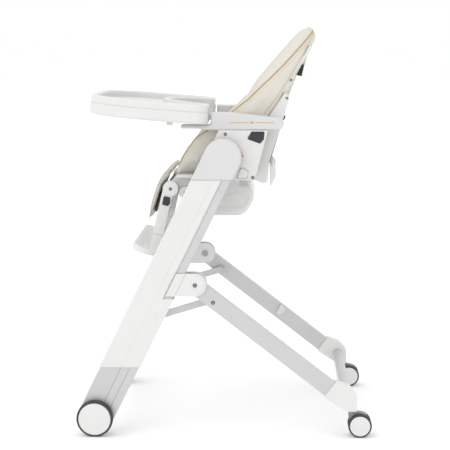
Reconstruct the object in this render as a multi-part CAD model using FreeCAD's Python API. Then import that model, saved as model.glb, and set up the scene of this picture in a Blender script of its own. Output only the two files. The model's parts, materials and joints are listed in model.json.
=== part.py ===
import FreeCAD, Part
import math
import os

# Baby high chair on two leaning front legs, with a folding rear frame, a seat that slides up and
# down the legs, a reclining back, a leg rest with a sliding footrest, and a removable tray.
# Millimetres. The chair faces -Y, +Z is up, X = 0 is its middle plane, the floor is Z = 0, and
# Y = 0 is halfway between the front edge of the front wheels and the rear edge of the casters.
# Pieces called "right" are at +X.

# ---------------------------------------------------------------- overall
BASE_HALF = 376.5
FRONT_WHEEL_RADIUS = 46.5
CASTER_WHEEL_RADIUS = 30.0
LEG_LEAN = 26.1
LEG_LENGTH = 742.0

# ---------------------------------------------------------------- front legs
LEG_INNER_X = 240.0
LEG_OUTER_X = 278.0
LEG_FRONT = -45.5
LEG_REAR = 44.0
LEG_WALL = 3.0
SEAT_CHANNEL = 20.0
SEAT_SLOT = 12.0
BRACKET_CHANNEL_FRONT = 24.0
BRACKET_SLOT_X = (254.0, 264.0)
FOOT_SOLID = 60.0
GROOVE = 2.0
SLEEVE_WALL = 2.5
SLEEVE_BOTTOM_Z = 178.0
SLEEVE_TOP_Z = 657.0
SLEEVE_STEP_Z = 355.0
SLEEVE_REAR = 22.5
EDGE_RADIUS = 2.5
SLEEVE_EDGE_RADIUS = 4.5
CAP_WALL = 4.0
CROSSBAR_RADIUS = 13.0
CROSSBAR_UP = 96.0
CROSSBAR_REAR = 6.0

# ---------------------------------------------------------------- front wheels
AXLE_RADIUS = 5.0
RUNNING_CLEARANCE = 0.05
FRONT_WHEEL_X = (281.0, 301.0)
FRONT_DISC_RADIUS = 41.0

# ---------------------------------------------------------------- fold linkage
PIVOT_REACH = 78.4
PIVOT_UP = 422.5
BRACKET_RADIUS = 29.0
BRACKET_CHEEK_OUTER_X = (278.6, 285.0)
BRACKET_CHEEK_INNER_X = (244.5, 251.4)
BRACKET_WEB = 6.0
PIVOT_BOLT_RADIUS = 5.0
STRUT_X = (230.5, 236.5)
STRUT_LEG_REACH = 29.0
STRUT_LEG_UP = 299.0
STRUT_FRAME_ALONG = 63.6
STRUT_FRAME_DROP = 8.0
STRUT_HALF_WIDTH = 8.5
STRUT_PIN_RADIUS = 4.0

# ---------------------------------------------------------------- rear frame
REAR_SLOPE = 37.6
REAR_TUBE_X = (252.0, 278.0)
REAR_TUBE_DEPTH = 41.0
REAR_TUBE_DROP = 3.0
REAR_TUBE_WALL = 2.0
REAR_BAR_RADIUS = 14.0
REAR_BAR_YZ = (313.0, 97.0)
SHOE_WALL = 3.5
SHOE_BOTTOM_Z = 67.0
HOOK_ALONG = 275.0

# ---------------------------------------------------------------- casters
CASTER_X = 265.0
CASTER_TRAIL = 20.0
CASTER_STEM_RADIUS = 5.5
CASTER_STEM_HEIGHT = 26.0
CASTER_HOOD_HALF = 5.6
CASTER_WHEEL_X = (6.4, 22.0)
CASTER_AXLE_RADIUS = 3.5
CASTER_DISC_RADIUS = 25.5
CASTER_HOOD_TOP_Z = 66.0

# ---------------------------------------------------------------- seat carriage
SIDE_PLATE_X = (206.0, 226.0)
SLIDER_NECK = 11.0
SLIDER_HEAD = 19.0
SLIDER_HEAD_X = (244.0, 262.0)
SLIDER_UP = (662.0, 736.0)
SEAT_HALF = 200.0
SEAT_PAD_SIDE = 18.0
UNDER_HALF = 118.0
UNDER_WALL = 3.0
UNDER_ROUND = 12.0
BEAD_DEPTH = 1.0
UNDER_TOP_Z = 655.5
ARM_X = (188.0, 226.0)
ARM_TOP_FRONT_Z = 823.5
ARM_TOP_REAR_Z = 809.0
ARM_BOTTOM_Z = 779.0
ARM_FRONT_Y = -36.0
ARM_REAR_Y = 150.0
ARM_TONGUE_Y = -112.0
ARM_TONGUE_TOP_Z = 792.0
ARM_TONGUE_BOTTOM_Z = 782.5
PRESS_GAP = 0.8
BUTTON_PROUD = 2.0

# ---------------------------------------------------------------- backrest
RECLINE_Y = 71.0
RECLINE_Z = 659.0
RECLINE_PIN_RADIUS = 6.0
BACK_HALF = 180.0
BACK_TOP_HALF = 118.0
WING_THICK = 16.0
BACK_PAD_THICK = 24.0
POST_X = (132.0, 160.0)

# ---------------------------------------------------------------- leg rest and footrest
LEG_REST_Y = -140.0
LEG_REST_Z = 627.0
HUB_RADIUS = 20.0
HUB_X = (178.0, 203.0)
HUB_PIN_RADIUS = 6.0
ARM_TILT = 12.8
ARM_SLEEVE_LENGTH = 122.0
ARM_SLEEVE_DEPTH = 26.0
ARM_AHEAD = 6.0
ROD_DEPTH = 14.0
ROD_X = (184.0, 197.0)
ROD_GAP = 0.5
FLAP_HALF = 150.0
FLAP_THICK = 12.0
BOARD_THICK = 5.0
FOOT_HALF = 203.0
FOOT_FRONT_Y = -244.0
FOOT_CORNER = 60.0
FOOT_REACH = 176.0
LINE_DEPTH = 0.8

# ---------------------------------------------------------------- tray
TRAY_PITCH = 4.5
TRAY_Y = -200.0
TRAY_LIP_Z = 835.0
TRAY_HALF = 262.0
TRAY_FRONT = -154.0
TRAY_REAR = 160.0
TRAY_FRONT_CORNER = 150.0
TRAY_REAR_CORNER = 34.0
TRAY_BELLY_RADIUS = 170.0
TRAY_BELLY_BACK = 55.0
TRAY_BASE_DEPTH = 30.0
TRAY_RIM_HEIGHT = 20.0
TRAY_WALL = 4.0
TRAY_RECESS_DEPTH = 17.0
TRAY_RIM_WIDTH = 18.0
TRAY_EAR_RADIUS = 14.0


# ---------------------------------------------------------------- derived places
FRONT_WHEEL_Y = FRONT_WHEEL_RADIUS - BASE_HALF
CASTER_WHEEL_Y = BASE_HALF - CASTER_WHEEL_RADIUS
STEM_Y = CASTER_WHEEL_Y - CASTER_TRAIL
SIN_LEAN = math.sin(math.radians(LEG_LEAN))
COS_LEAN = math.cos(math.radians(LEG_LEAN))


def leg(reach, up):
    """Y and Z of a point given across the front leg (rearward) and along it, from its wheel."""
    y = FRONT_WHEEL_Y + reach * COS_LEAN + up * SIN_LEAN
    z = FRONT_WHEEL_RADIUS - reach * SIN_LEAN + up * COS_LEAN
    return (y, z)


def leg_up_at(reach, z):
    """How far along the leg a line of constant reach meets the height z."""
    return (z - FRONT_WHEEL_RADIUS + reach * SIN_LEAN) / COS_LEAN


PIVOT = leg(PIVOT_REACH, PIVOT_UP)
REAR_ALONG = (math.cos(math.radians(REAR_SLOPE)), -math.sin(math.radians(REAR_SLOPE)))


def rear(along, drop):
    """Y and Z of a point given along the rear leg from its pivot, and below its pivot line."""
    y = PIVOT[0] + along * REAR_ALONG[0] + drop * REAR_ALONG[1]
    z = PIVOT[1] + along * REAR_ALONG[1] - drop * REAR_ALONG[0]
    return (y, z)


def foot_arm(along, ahead):
    """Y and Z of a point given down the leg rest's arm from its hub, and in front of its line."""
    tilt = math.radians(ARM_TILT)
    y = LEG_REST_Y - along * math.sin(tilt) - ahead * math.cos(tilt)
    z = LEG_REST_Z - along * math.cos(tilt) + ahead * math.sin(tilt)
    return (y, z)


# ---------------------------------------------------------------- shape helpers
def corner_wire(points, place):
    """A closed wire through points (a, b) or (a, b, radius), with round corners where given."""
    count = len(points)
    marks = []
    for i in range(count):
        a = points[i]
        before = points[i - 1]
        after = points[(i + 1) % count]
        radius = a[2] if len(a) > 2 else 0.0
        to_before = (before[0] - a[0], before[1] - a[1])
        to_after = (after[0] - a[0], after[1] - a[1])
        len_before = math.hypot(*to_before)
        len_after = math.hypot(*to_after)
        cosine = (to_before[0] * to_after[0] + to_before[1] * to_after[1]) / (len_before * len_after)
        angle = math.acos(max(-1.0, min(1.0, cosine)))
        if radius <= 0.0 or angle > math.pi - 0.01:
            marks.append([(a[0], a[1])])
            continue
        cut = min(radius / math.tan(angle / 2), 0.48 * len_before, 0.48 * len_after)
        used = cut * math.tan(angle / 2)
        unit_b = (to_before[0] / len_before, to_before[1] / len_before)
        unit_a = (to_after[0] / len_after, to_after[1] / len_after)
        start = (a[0] + unit_b[0] * cut, a[1] + unit_b[1] * cut)
        end = (a[0] + unit_a[0] * cut, a[1] + unit_a[1] * cut)
        half = (unit_b[0] + unit_a[0], unit_b[1] + unit_a[1])
        half_len = math.hypot(*half)
        reach = used / math.sin(angle / 2) - used
        middle = (a[0] + half[0] / half_len * reach, a[1] + half[1] / half_len * reach)
        marks.append([start, middle, end])
    edges = []
    for i in range(count):
        mark = marks[i]
        following = marks[(i + 1) % count]
        if len(mark) == 3:
            edges.append(Part.Arc(place(*mark[0]), place(*mark[1]), place(*mark[2])).toShape())
        line_start = place(*mark[-1])
        line_end = place(*following[0])
        if line_start.distanceToPoint(line_end) > 1e-6:
            edges.append(Part.LineSegment(line_start, line_end).toShape())
    return Part.Wire(edges)


def side_plate(points, x_range):
    """A flat piece cut to an outline in the side view (Y, Z), from one X to another."""
    wire = corner_wire(points, lambda y, z: FreeCAD.Vector(x_range[0], y, z))
    return Part.Face(wire).extrude(FreeCAD.Vector(x_range[1] - x_range[0], 0, 0))


def softened(shape, radius, keep):
    """The shape with a rounded edge wherever the keep test says so."""
    return shape.makeFillet(radius, [edge for edge in shape.Edges if keep(edge)])


def on_x(edge, x):
    """True when the whole edge lies at this X."""
    return abs(edge.BoundBox.XMin - x) < 0.01 and abs(edge.BoundBox.XMax - x) < 0.01


def soft_plate(points, x_range, radius, both=True):
    """A side plate whose outer face, or both faces, have rounded edges."""
    faces = x_range if both else (max(x_range, key=abs),)
    return softened(side_plate(points, x_range), radius, lambda e: any(on_x(e, x) for x in faces))


def along_leg(edge):
    """True for a straight edge that runs along the front leg."""
    ends = [vertex.Point for vertex in edge.Vertexes]
    if len(ends) != 2 or abs(ends[0].x - ends[1].x) > 0.01 or edge.Length < 200:
        return False
    step = (ends[1] - ends[0]).normalize()
    return abs(step.y * COS_LEAN - step.z * SIN_LEAN) < 0.001


def plan_plate(points, z_range):
    """A flat piece cut to an outline seen from above (X, Y), from one Z to another."""
    wire = corner_wire(points, lambda x, y: FreeCAD.Vector(x, y, z_range[0]))
    return Part.Face(wire).extrude(FreeCAD.Vector(0, 0, z_range[1] - z_range[0]))


def leg_block(reach_range, up_range, x_range):
    """A block square to the front leg."""
    corners = [(reach_range[0], up_range[0]), (reach_range[1], up_range[0])]
    corners += [(reach_range[1], up_range[1]), (reach_range[0], up_range[1])]
    return side_plate([leg(*corner) for corner in corners], x_range)


def rod(y, z, radius, x_range):
    """A round bar along X."""
    length = x_range[1] - x_range[0]
    return Part.makeCylinder(radius, length, FreeCAD.Vector(x_range[0], y, z), FreeCAD.Vector(1, 0, 0))


def box(x_range, y_range, z_range):
    """A block square to the axes."""
    corner = FreeCAD.Vector(x_range[0], y_range[0], z_range[0])
    size = [r[1] - r[0] for r in (x_range, y_range, z_range)]
    return Part.makeBox(size[0], size[1], size[2], corner)


def mirrored(shape):
    """The same piece on the other side of the chair."""
    return shape.mirror(FreeCAD.Vector(0, 0, 0), FreeCAD.Vector(1, 0, 0))


def pair(shape):
    """A piece and its mirror image as one group of separate solids."""
    return Part.makeCompound([shape, mirrored(shape)])


def fused(shapes):
    """Several touching shapes as one solid."""
    whole = shapes[0]
    for other in shapes[1:]:
        whole = whole.fuse(other)
    return whole.removeSplitter()


def grown(radius, clearance=RUNNING_CLEARANCE):
    """The bore for a shaft of this radius."""
    return radius + clearance


# ---------------------------------------------------------------- front legs
def leg_outline(front, back, bottom_radius, up_top):
    """A leg-shaped outline: round at the wheel, square at the top."""
    side = LEG_INNER_X
    body = leg_block((front, back), (0, up_top), (side, LEG_OUTER_X))
    middle = (front + back) / 2
    foot = rod(*leg(middle, 0), bottom_radius, (side, LEG_OUTER_X))
    return fused([body, foot])


def front_leg_post():
    """An aluminium post with a channel for the seat slider inboard and the bracket behind."""
    post = leg_outline(LEG_FRONT, LEG_REAR, (LEG_REAR - LEG_FRONT) / 2, LEG_LENGTH)
    post = softened(post, EDGE_RADIUS, along_leg)
    long_way = (FOOT_SOLID, LEG_LENGTH + 1)
    inside_x = (LEG_INNER_X + LEG_WALL, LEG_OUTER_X - LEG_WALL)
    post = post.cut(leg_block((-SEAT_CHANNEL, SEAT_CHANNEL), long_way, inside_x))
    post = post.cut(leg_block((-SEAT_SLOT, SEAT_SLOT), long_way, (LEG_INNER_X - 1, inside_x[0] + 1)))
    post = post.cut(leg_block((LEG_FRONT + LEG_WALL, -BRACKET_CHANNEL_FRONT), long_way, inside_x))
    rear_channel = (BRACKET_CHANNEL_FRONT, LEG_REAR - LEG_WALL)
    post = post.cut(leg_block(rear_channel, long_way, inside_x))
    post = post.cut(leg_block((rear_channel[1] - 1, LEG_REAR + 1), long_way, BRACKET_SLOT_X))
    groove_x = (LEG_OUTER_X - GROOVE, LEG_OUTER_X + 1)
    for reach in (2, SLEEVE_REAR + 0.2):
        post = post.cut(leg_block((reach, reach + GROOVE - 0.3), (-60, LEG_LENGTH + 1), groove_x))
    pin_hole = rod(*leg(STRUT_LEG_REACH, STRUT_LEG_UP), STRUT_PIN_RADIUS, (LEG_INNER_X - 1, inside_x[0]))
    post = post.cut(pin_hole)
    return post.cut(rod(*leg(0, 0), AXLE_RADIUS, (LEG_INNER_X - 1, LEG_OUTER_X + 1)))


def post_envelope(extra):
    """The solid outside of the post, for hollowing what is fitted over it."""
    reach = (LEG_FRONT - extra, LEG_REAR + extra)
    return leg_block(reach, (-50, LEG_LENGTH), (LEG_INNER_X - extra, LEG_OUTER_X + extra))


def slider_window(wall_x):
    """The long slot that lets the seat's slider through an inboard wall."""
    return leg_block((-SEAT_SLOT - 2, SEAT_SLOT + 2), (FOOT_SOLID, LEG_LENGTH + 2), wall_x)


def leg_sleeve():
    """A white shell over the post, cut back above the bracket so that the bracket can rise."""
    outer_x = (LEG_INNER_X - SLEEVE_WALL, LEG_OUTER_X + SLEEVE_WALL)
    low = SLEEVE_BOTTOM_Z
    step = SLEEVE_STEP_Z
    top = SLEEVE_TOP_Z
    front = LEG_FRONT - SLEEVE_WALL
    back = LEG_REAR + SLEEVE_WALL
    heights = [(front, low), (back, low), (back, step), (SLEEVE_REAR, step), (SLEEVE_REAR, top)]
    heights.append((front, top))
    outline = [leg(reach, leg_up_at(reach, z)) for reach, z in heights]
    shell = softened(side_plate(outline, outer_x), SLEEVE_EDGE_RADIUS, along_leg)
    shell = shell.cut(post_envelope(0))
    shell = shell.cut(slider_window((outer_x[0] - 1, LEG_INNER_X + 1)))
    window_top = leg_up_at(LEG_REAR, step) + 1
    pin = leg_block((-2, STRUT_LEG_REACH + 8), (STRUT_LEG_UP - 8, STRUT_LEG_UP + 8),
                    (outer_x[0] - 1, LEG_INNER_X + 0.5))
    shell = shell.cut(pin)
    groove = leg_block((2, 2 + GROOVE), (0, window_top * 2), (outer_x[1] - GROOVE / 4, outer_x[1] + 1))
    return shell.cut(groove)


def leg_cap():
    """The grey cap that closes the top of the leg with a half round."""
    outer_x = (LEG_INNER_X - CAP_WALL, LEG_OUTER_X + CAP_WALL + 1)
    front = LEG_FRONT - SLEEVE_WALL
    back = LEG_REAR + SLEEVE_WALL
    radius = (back - front) / 2
    low = SLEEVE_TOP_Z + 0.4
    corners = [leg(front, leg_up_at(front, low)), leg(back, leg_up_at(back, low))]
    corners += [leg(back, LEG_LENGTH), leg(front, LEG_LENGTH)]
    cap = side_plate(corners, outer_x)
    cap = cap.fuse(rod(*leg((front + back) / 2, LEG_LENGTH), radius, outer_x)).removeSplitter()
    cap = softened(cap, CAP_WALL, lambda e: on_x(e, outer_x[1]))
    cap = cap.cut(post_envelope(0))
    return cap.cut(slider_window((outer_x[0] - 1, LEG_INNER_X + 1)))


def front_crossbar():
    """A round tube that joins the two front legs behind the front wheels."""
    y, z = leg(CROSSBAR_REAR, CROSSBAR_UP)
    tube = rod(y, z, CROSSBAR_RADIUS, (-LEG_INNER_X, LEG_INNER_X))
    return tube.cut(rod(y, z, CROSSBAR_RADIUS - 1.5, (-LEG_INNER_X - 1, LEG_INNER_X + 1)))


def front_axle():
    """A shouldered axle fixed in the leg, with a head that keeps the wheel on."""
    y, z = leg(0, 0)
    shaft = rod(y, z, AXLE_RADIUS, (LEG_INNER_X + 4, FRONT_WHEEL_X[1] - 4))
    head = rod(y, z, AXLE_RADIUS + 4, (FRONT_WHEEL_X[1] - 6, FRONT_WHEEL_X[1] - 4))
    return fused([shaft, head])


def sleeve_plug():
    """A round plug that covers the strut's bolt in the sleeve's outer side."""
    y, z = leg(STRUT_LEG_REACH - 8, STRUT_LEG_UP)
    face = LEG_OUTER_X + SLEEVE_WALL
    return rod(y, z, 10.5, (face, face + 0.8))


def strut_leg_pin():
    """The pin in the front leg that the strut turns on."""
    y, z = leg(STRUT_LEG_REACH, STRUT_LEG_UP)
    shaft = rod(y, z, STRUT_PIN_RADIUS, (STRUT_X[0] - 2.3, LEG_INNER_X + LEG_WALL))
    head = rod(y, z, STRUT_PIN_RADIUS + 3, (STRUT_X[0] - 2.8, STRUT_X[0] - 0.3))
    return fused([shaft, head])


# ---------------------------------------------------------------- front wheels
def front_tyre():
    """A soft tyre with rounded shoulders, seated on the wheel disc."""
    y, z = leg(0, 0)
    ring = rod(y, z, FRONT_WHEEL_RADIUS, FRONT_WHEEL_X)
    edges = [e for e in ring.Edges if abs(e.Length - 2 * math.pi * FRONT_WHEEL_RADIUS) < 1]
    ring = ring.makeFillet(3.0, edges)
    return ring.cut(rod(y, z, FRONT_DISC_RADIUS, (FRONT_WHEEL_X[0] - 1, FRONT_WHEEL_X[1] + 1)))


def front_wheel():
    """The wheel disc: a closed white outer face, and a hub that runs on the axle."""
    y, z = leg(0, 0)
    disc = rod(y, z, FRONT_DISC_RADIUS, (FRONT_WHEEL_X[0], FRONT_WHEEL_X[1]))
    dome = rod(y, z, FRONT_DISC_RADIUS - 1, (FRONT_WHEEL_X[1], FRONT_WHEEL_X[1] + 1.5))
    rim_edges = [e for e in dome.Edges if e.BoundBox.XMin > FRONT_WHEEL_X[1] + 1]
    dome = dome.makeFillet(1.2, [e for e in rim_edges if e.Closed])
    wheel = fused([disc, dome])
    shaft_x = (FRONT_WHEEL_X[0] - 1, FRONT_WHEEL_X[1] - 3)
    wheel = wheel.cut(rod(y, z, grown(AXLE_RADIUS), shaft_x))
    head_x = (FRONT_WHEEL_X[1] - 6.4, FRONT_WHEEL_X[1] - 3)
    wheel = wheel.cut(rod(y, z, AXLE_RADIUS + 4.4, head_x))
    recess = rod(y, z, FRONT_DISC_RADIUS - 5, (FRONT_WHEEL_X[0] - 1, FRONT_WHEEL_X[1] - 9))
    hub = rod(y, z, AXLE_RADIUS + 7, (FRONT_WHEEL_X[0] - 1, FRONT_WHEEL_X[1] - 9))
    return wheel.cut(recess.cut(hub))


# ---------------------------------------------------------------- fold brackets and struts
def fold_bracket():
    """A bracket that slides up the post's rear channel and carries the rear leg's pivot."""
    top_z = PIVOT[1] + BRACKET_RADIUS
    low_z = PIVOT[1] - BRACKET_RADIUS
    web_front = LEG_REAR + 0.8

    def cheek(front_reach, x_range):
        front_top = leg(front_reach, leg_up_at(front_reach, top_z))
        front_low = leg(front_reach, leg_up_at(front_reach, low_z))
        block = side_plate([front_top, (PIVOT[0], top_z), (PIVOT[0], low_z), front_low], x_range)
        return fused([block, rod(*PIVOT, BRACKET_RADIUS, x_range)])

    outer = cheek(SLEEVE_REAR + 0.8, BRACKET_CHEEK_OUTER_X)
    outer = softened(outer, 2.0, lambda e: on_x(e, BRACKET_CHEEK_OUTER_X[1]))
    line_x = (BRACKET_CHEEK_OUTER_X[1] - 2, BRACKET_CHEEK_OUTER_X[1] + 1)
    outer = outer.cut(leg_block((LEG_REAR, LEG_REAR + 3), (380, 480), line_x))
    rim = ring_line(*PIVOT, BRACKET_RADIUS - 4, BRACKET_CHEEK_OUTER_X[1])
    behind = box(BRACKET_CHEEK_OUTER_X, (PIVOT[0], PIVOT[0] + BRACKET_RADIUS), (low_z, top_z))
    outer = outer.cut(rim.common(behind))
    inner = cheek(web_front, BRACKET_CHEEK_INNER_X)
    web_reach = (web_front, web_front + BRACKET_WEB)
    web_ends = []
    for reach in web_reach:
        web_ends.append(leg(reach, leg_up_at(reach, low_z)))
    for reach in reversed(web_reach):
        web_ends.append(leg(reach, leg_up_at(reach, top_z)))
    web = side_plate(web_ends, (BRACKET_CHEEK_INNER_X[0], BRACKET_CHEEK_OUTER_X[1] - 0.5))
    tongue_up = (PIVOT_UP - 30, PIVOT_UP + 12)
    neck_x = (BRACKET_SLOT_X[0] + 0.6, BRACKET_SLOT_X[1] - 0.6)
    neck = leg_block((LEG_REAR - 6, web_front + 1), tongue_up, neck_x)
    head_reach = (BRACKET_CHANNEL_FRONT + 4, LEG_REAR - LEG_WALL - 0.6)
    head = leg_block(head_reach, tongue_up, (neck_x[0] - 5, neck_x[1] + 5))
    bracket = fused([outer, inner, web, neck, head])
    bore_x = (BRACKET_CHEEK_INNER_X[0] - 1, BRACKET_CHEEK_OUTER_X[1] + 1)
    return bracket.cut(rod(*PIVOT, PIVOT_BOLT_RADIUS, bore_x))


def pivot_bolt():
    """The bolt through both cheeks that the rear leg turns on, with a socket head outside."""
    end_x = (BRACKET_CHEEK_INNER_X[0] - 2, BRACKET_CHEEK_OUTER_X[1] + 1.5)
    bolt = rod(*PIVOT, PIVOT_BOLT_RADIUS, end_x)
    nut = rod(*PIVOT, PIVOT_BOLT_RADIUS + 4, (end_x[0], BRACKET_CHEEK_INNER_X[0]))
    bolt = fused([bolt, nut])
    socket_wire = Part.makePolygon([
        FreeCAD.Vector(end_x[1] - 2.5,
                       PIVOT[0] + 3 * math.cos(math.radians(60 * k)),
                       PIVOT[1] + 3 * math.sin(math.radians(60 * k)))
        for k in range(7)])
    return bolt.cut(Part.Face(socket_wire).extrude(FreeCAD.Vector(4, 0, 0)))


STRUT_LEG_END = leg(STRUT_LEG_REACH, STRUT_LEG_UP)
STRUT_FRAME_END = rear(STRUT_FRAME_ALONG, STRUT_FRAME_DROP)


def fold_strut():
    """A flat link from the front leg to the rear leg, with a bored eye at the front leg."""
    (y0, z0), (y1, z1) = STRUT_LEG_END, STRUT_FRAME_END
    length = math.hypot(y1 - y0, z1 - z0)
    across = (-(z1 - z0) / length * STRUT_HALF_WIDTH, (y1 - y0) / length * STRUT_HALF_WIDTH)
    bar = [(y0 + across[0], z0 + across[1]), (y1 + across[0], z1 + across[1])]
    bar += [(y1 - across[0], z1 - across[1]), (y0 - across[0], z0 - across[1])]
    link = fused([side_plate(bar, STRUT_X)] +
                 [rod(y, z, STRUT_HALF_WIDTH, STRUT_X) for y, z in (STRUT_LEG_END, STRUT_FRAME_END)])
    link = link.cut(rod(y0, z0, grown(STRUT_PIN_RADIUS), (STRUT_X[0] - 1, STRUT_X[1] + 1)))
    boss = rod(y1, z1, STRUT_PIN_RADIUS + 1.5, (STRUT_X[0] - 2, STRUT_X[0]))
    return fused([link, boss])


# ---------------------------------------------------------------- rear frame
REAR_END_ALONG = (REAR_BAR_YZ[0] - PIVOT[0] - 12) / REAR_ALONG[0]


def rear_tube(depth, x_range, start):
    """A flat-sided tube shape from the pivot down to the corner shoe, round at its pivot end."""
    high = REAR_TUBE_DROP - depth / 2
    low = REAR_TUBE_DROP + depth / 2
    corners = [rear(start, high), rear(REAR_END_ALONG, high), rear(REAR_END_ALONG, low)]
    corners.append(rear(start, low))
    return side_plate(corners, x_range)


def rear_leg_frame():
    """The U of the rear frame: two flat-sided tubes and the round bar that joins them."""
    depth = REAR_TUBE_DEPTH
    nose = rod(*rear(0, REAR_TUBE_DROP), depth / 2, REAR_TUBE_X)
    tube = fused([rear_tube(depth, REAR_TUBE_X, 0), nose])
    inside_x = (REAR_TUBE_X[0] + REAR_TUBE_WALL, REAR_TUBE_X[1] - REAR_TUBE_WALL)
    hollow = rear_tube(depth - 2 * REAR_TUBE_WALL, inside_x, depth)
    tube = tube.cut(hollow)
    tube = tube.cut(rod(*PIVOT, grown(PIVOT_BOLT_RADIUS), (REAR_TUBE_X[0] - 1, REAR_TUBE_X[1] + 1)))
    bar = rod(*REAR_BAR_YZ, REAR_BAR_RADIUS, (-REAR_TUBE_X[0] - 6, REAR_TUBE_X[0] + 6))
    return fused([tube, mirrored(tube), bar])


def corner_shoe():
    """A moulded shoe that holds the tube, the bar and the caster's stem."""
    wall = SHOE_WALL
    depth = REAR_TUBE_DEPTH + 2 * wall
    high = REAR_TUBE_DROP - depth / 2
    low = REAR_TUBE_DROP + depth / 2
    mouth = REAR_END_ALONG - 38
    outline = [rear(mouth, high) + (2,), (REAR_BAR_YZ[0] + 6, 131, 10), (STEM_Y + 12, 108, 14),
               (STEM_Y + 12, SHOE_BOTTOM_Z, 3), (STEM_Y - 13, SHOE_BOTTOM_Z, 3),
               rear(mouth, low) + (4,)]
    shoe = side_plate(outline, (REAR_TUBE_X[0] - wall, REAR_TUBE_X[1] + wall))
    shoe = shoe.cut(rear_tube(REAR_TUBE_DEPTH, REAR_TUBE_X, 0))
    shoe = shoe.cut(rod(*REAR_BAR_YZ, REAR_BAR_RADIUS, (0, REAR_TUBE_X[0] + 6)))
    stem_hole = Part.makeCylinder(grown(CASTER_STEM_RADIUS), CASTER_STEM_HEIGHT + 1,
                                  FreeCAD.Vector(CASTER_X, STEM_Y, SHOE_BOTTOM_Z - 1))
    return shoe.cut(stem_hole)


def tray_hook():
    """A clip on the rear leg's inner face where the tray hangs when it is not in use."""
    y, z = rear(HOOK_ALONG, REAR_TUBE_DROP)
    inner = REAR_TUBE_X[0]
    plate = side_plate([(y - 8, z - 4, 2), (y + 5, z + 22, 4), (y + 20, z + 4, 4), (y + 2, z - 12, 3)],
                       (inner - 4, inner))
    lip = side_plate([(y - 8, z - 4, 2), (y + 5, z + 22, 4), (y + 10, z + 16, 2), (y, z - 6, 2)],
                     (inner - 16, inner - 3))
    return fused([plate, lip])


def strut_rivet():
    """The rivet in the rear leg beside the strut's end: the linkage's open pivot."""
    y, z = STRUT_FRAME_END
    outside = rod(y, z, STRUT_PIN_RADIUS + 1, (REAR_TUBE_X[1], REAR_TUBE_X[1] + 1.5))
    inside = rod(y, z, STRUT_PIN_RADIUS + 1.5, (STRUT_X[1] + 1.2, REAR_TUBE_X[0]))
    return Part.makeCompound([outside, inside])


# ---------------------------------------------------------------- casters
def caster_fork():
    """The caster's swivelling hood and stem, with the axle that carries both wheels."""
    hood_x = (CASTER_X - CASTER_HOOD_HALF, CASTER_X + CASTER_HOOD_HALF)
    wheel_z = CASTER_WHEEL_RADIUS
    outline = [(STEM_Y - 9, CASTER_HOOD_TOP_Z, 3), (STEM_Y + 12, CASTER_HOOD_TOP_Z, 3),
               (CASTER_WHEEL_Y + 16, wheel_z + 28, 10), (CASTER_WHEEL_Y + 24, wheel_z + 6, 8),
               (CASTER_WHEEL_Y + 6, wheel_z - 9, 6), (CASTER_WHEEL_Y - 12, wheel_z - 6, 6),
               (STEM_Y - 9, wheel_z + 18, 6)]
    hood = side_plate(outline, hood_x)
    collar = Part.makeCylinder(10, 6, FreeCAD.Vector(CASTER_X, STEM_Y, CASTER_HOOD_TOP_Z - 5.5))
    stem = Part.makeCylinder(CASTER_STEM_RADIUS, CASTER_STEM_HEIGHT,
                             FreeCAD.Vector(CASTER_X, STEM_Y, CASTER_HOOD_TOP_Z - 3))
    axle_end = CASTER_WHEEL_X[1] - 3
    axle = rod(CASTER_WHEEL_Y, wheel_z, CASTER_AXLE_RADIUS, (CASTER_X - axle_end, CASTER_X + axle_end))
    return fused([hood, collar, stem, axle])


def caster_wheel_piece(radius, bore, x_range, fillet):
    """One ring or disc of a caster wheel, as twins on both sides of the hood."""
    pieces = []
    for side in (-1, 1):
        low, high = sorted((side * x_range[0], side * x_range[1]))
        whole = rod(CASTER_WHEEL_Y, CASTER_WHEEL_RADIUS, radius, (CASTER_X + low, CASTER_X + high))
        if fillet:
            rims = [e for e in whole.Edges if e.Closed]
            whole = whole.makeFillet(fillet, rims)
        hole_x = (CASTER_X + low - 1, CASTER_X + high + 1)
        if bore < CASTER_DISC_RADIUS:
            inner_wall = CASTER_X + side * (x_range[1] - 2)
            hole_x = tuple(sorted((CASTER_X + side * (x_range[0] - 1), inner_wall)))
        pieces.append(whole.cut(rod(CASTER_WHEEL_Y, CASTER_WHEEL_RADIUS, bore, hole_x)))
    return Part.makeCompound(pieces)


def caster_tyres():
    """Both soft tyres of one caster."""
    return caster_wheel_piece(CASTER_WHEEL_RADIUS, CASTER_DISC_RADIUS, CASTER_WHEEL_X, 2.5)


def caster_hubs():
    """Both discs of one caster, which run on its axle and are closed outside."""
    disc_x = (CASTER_WHEEL_X[0] + 0.2, CASTER_WHEEL_X[1] + 0.2)
    return caster_wheel_piece(CASTER_DISC_RADIUS, grown(CASTER_AXLE_RADIUS), disc_x, 0)


# ---------------------------------------------------------------- seat carriage
LEVER_OUTLINE = [(57, 757, 3), (68, 775, 2), (100, 775, 3), (98, 756, 4), (89, 746, 4)]
BUTTON_OUTLINE = [(42, 688, 8), (59, 674, 5), (58, 660, 5), (49, 656, 4), (31, 657, 3)]
RECLINE_LINE = [(50, 694), (73, 740), (105, 812), (150, 882), (190, 948), (214, 990), (236, 1034)]


def around(points, gap):
    """The outline grown outward by a gap, for the opening a button moves in."""
    middle_y = sum(p[0] for p in points) / len(points)
    middle_z = sum(p[1] for p in points) / len(points)
    larger = []
    for point in points:
        away = math.hypot(point[0] - middle_y, point[1] - middle_z)
        scale = (away + gap * 1.5) / away
        larger.append((middle_y + (point[0] - middle_y) * scale,
                       middle_z + (point[1] - middle_z) * scale, point[2]))
    return larger


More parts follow.
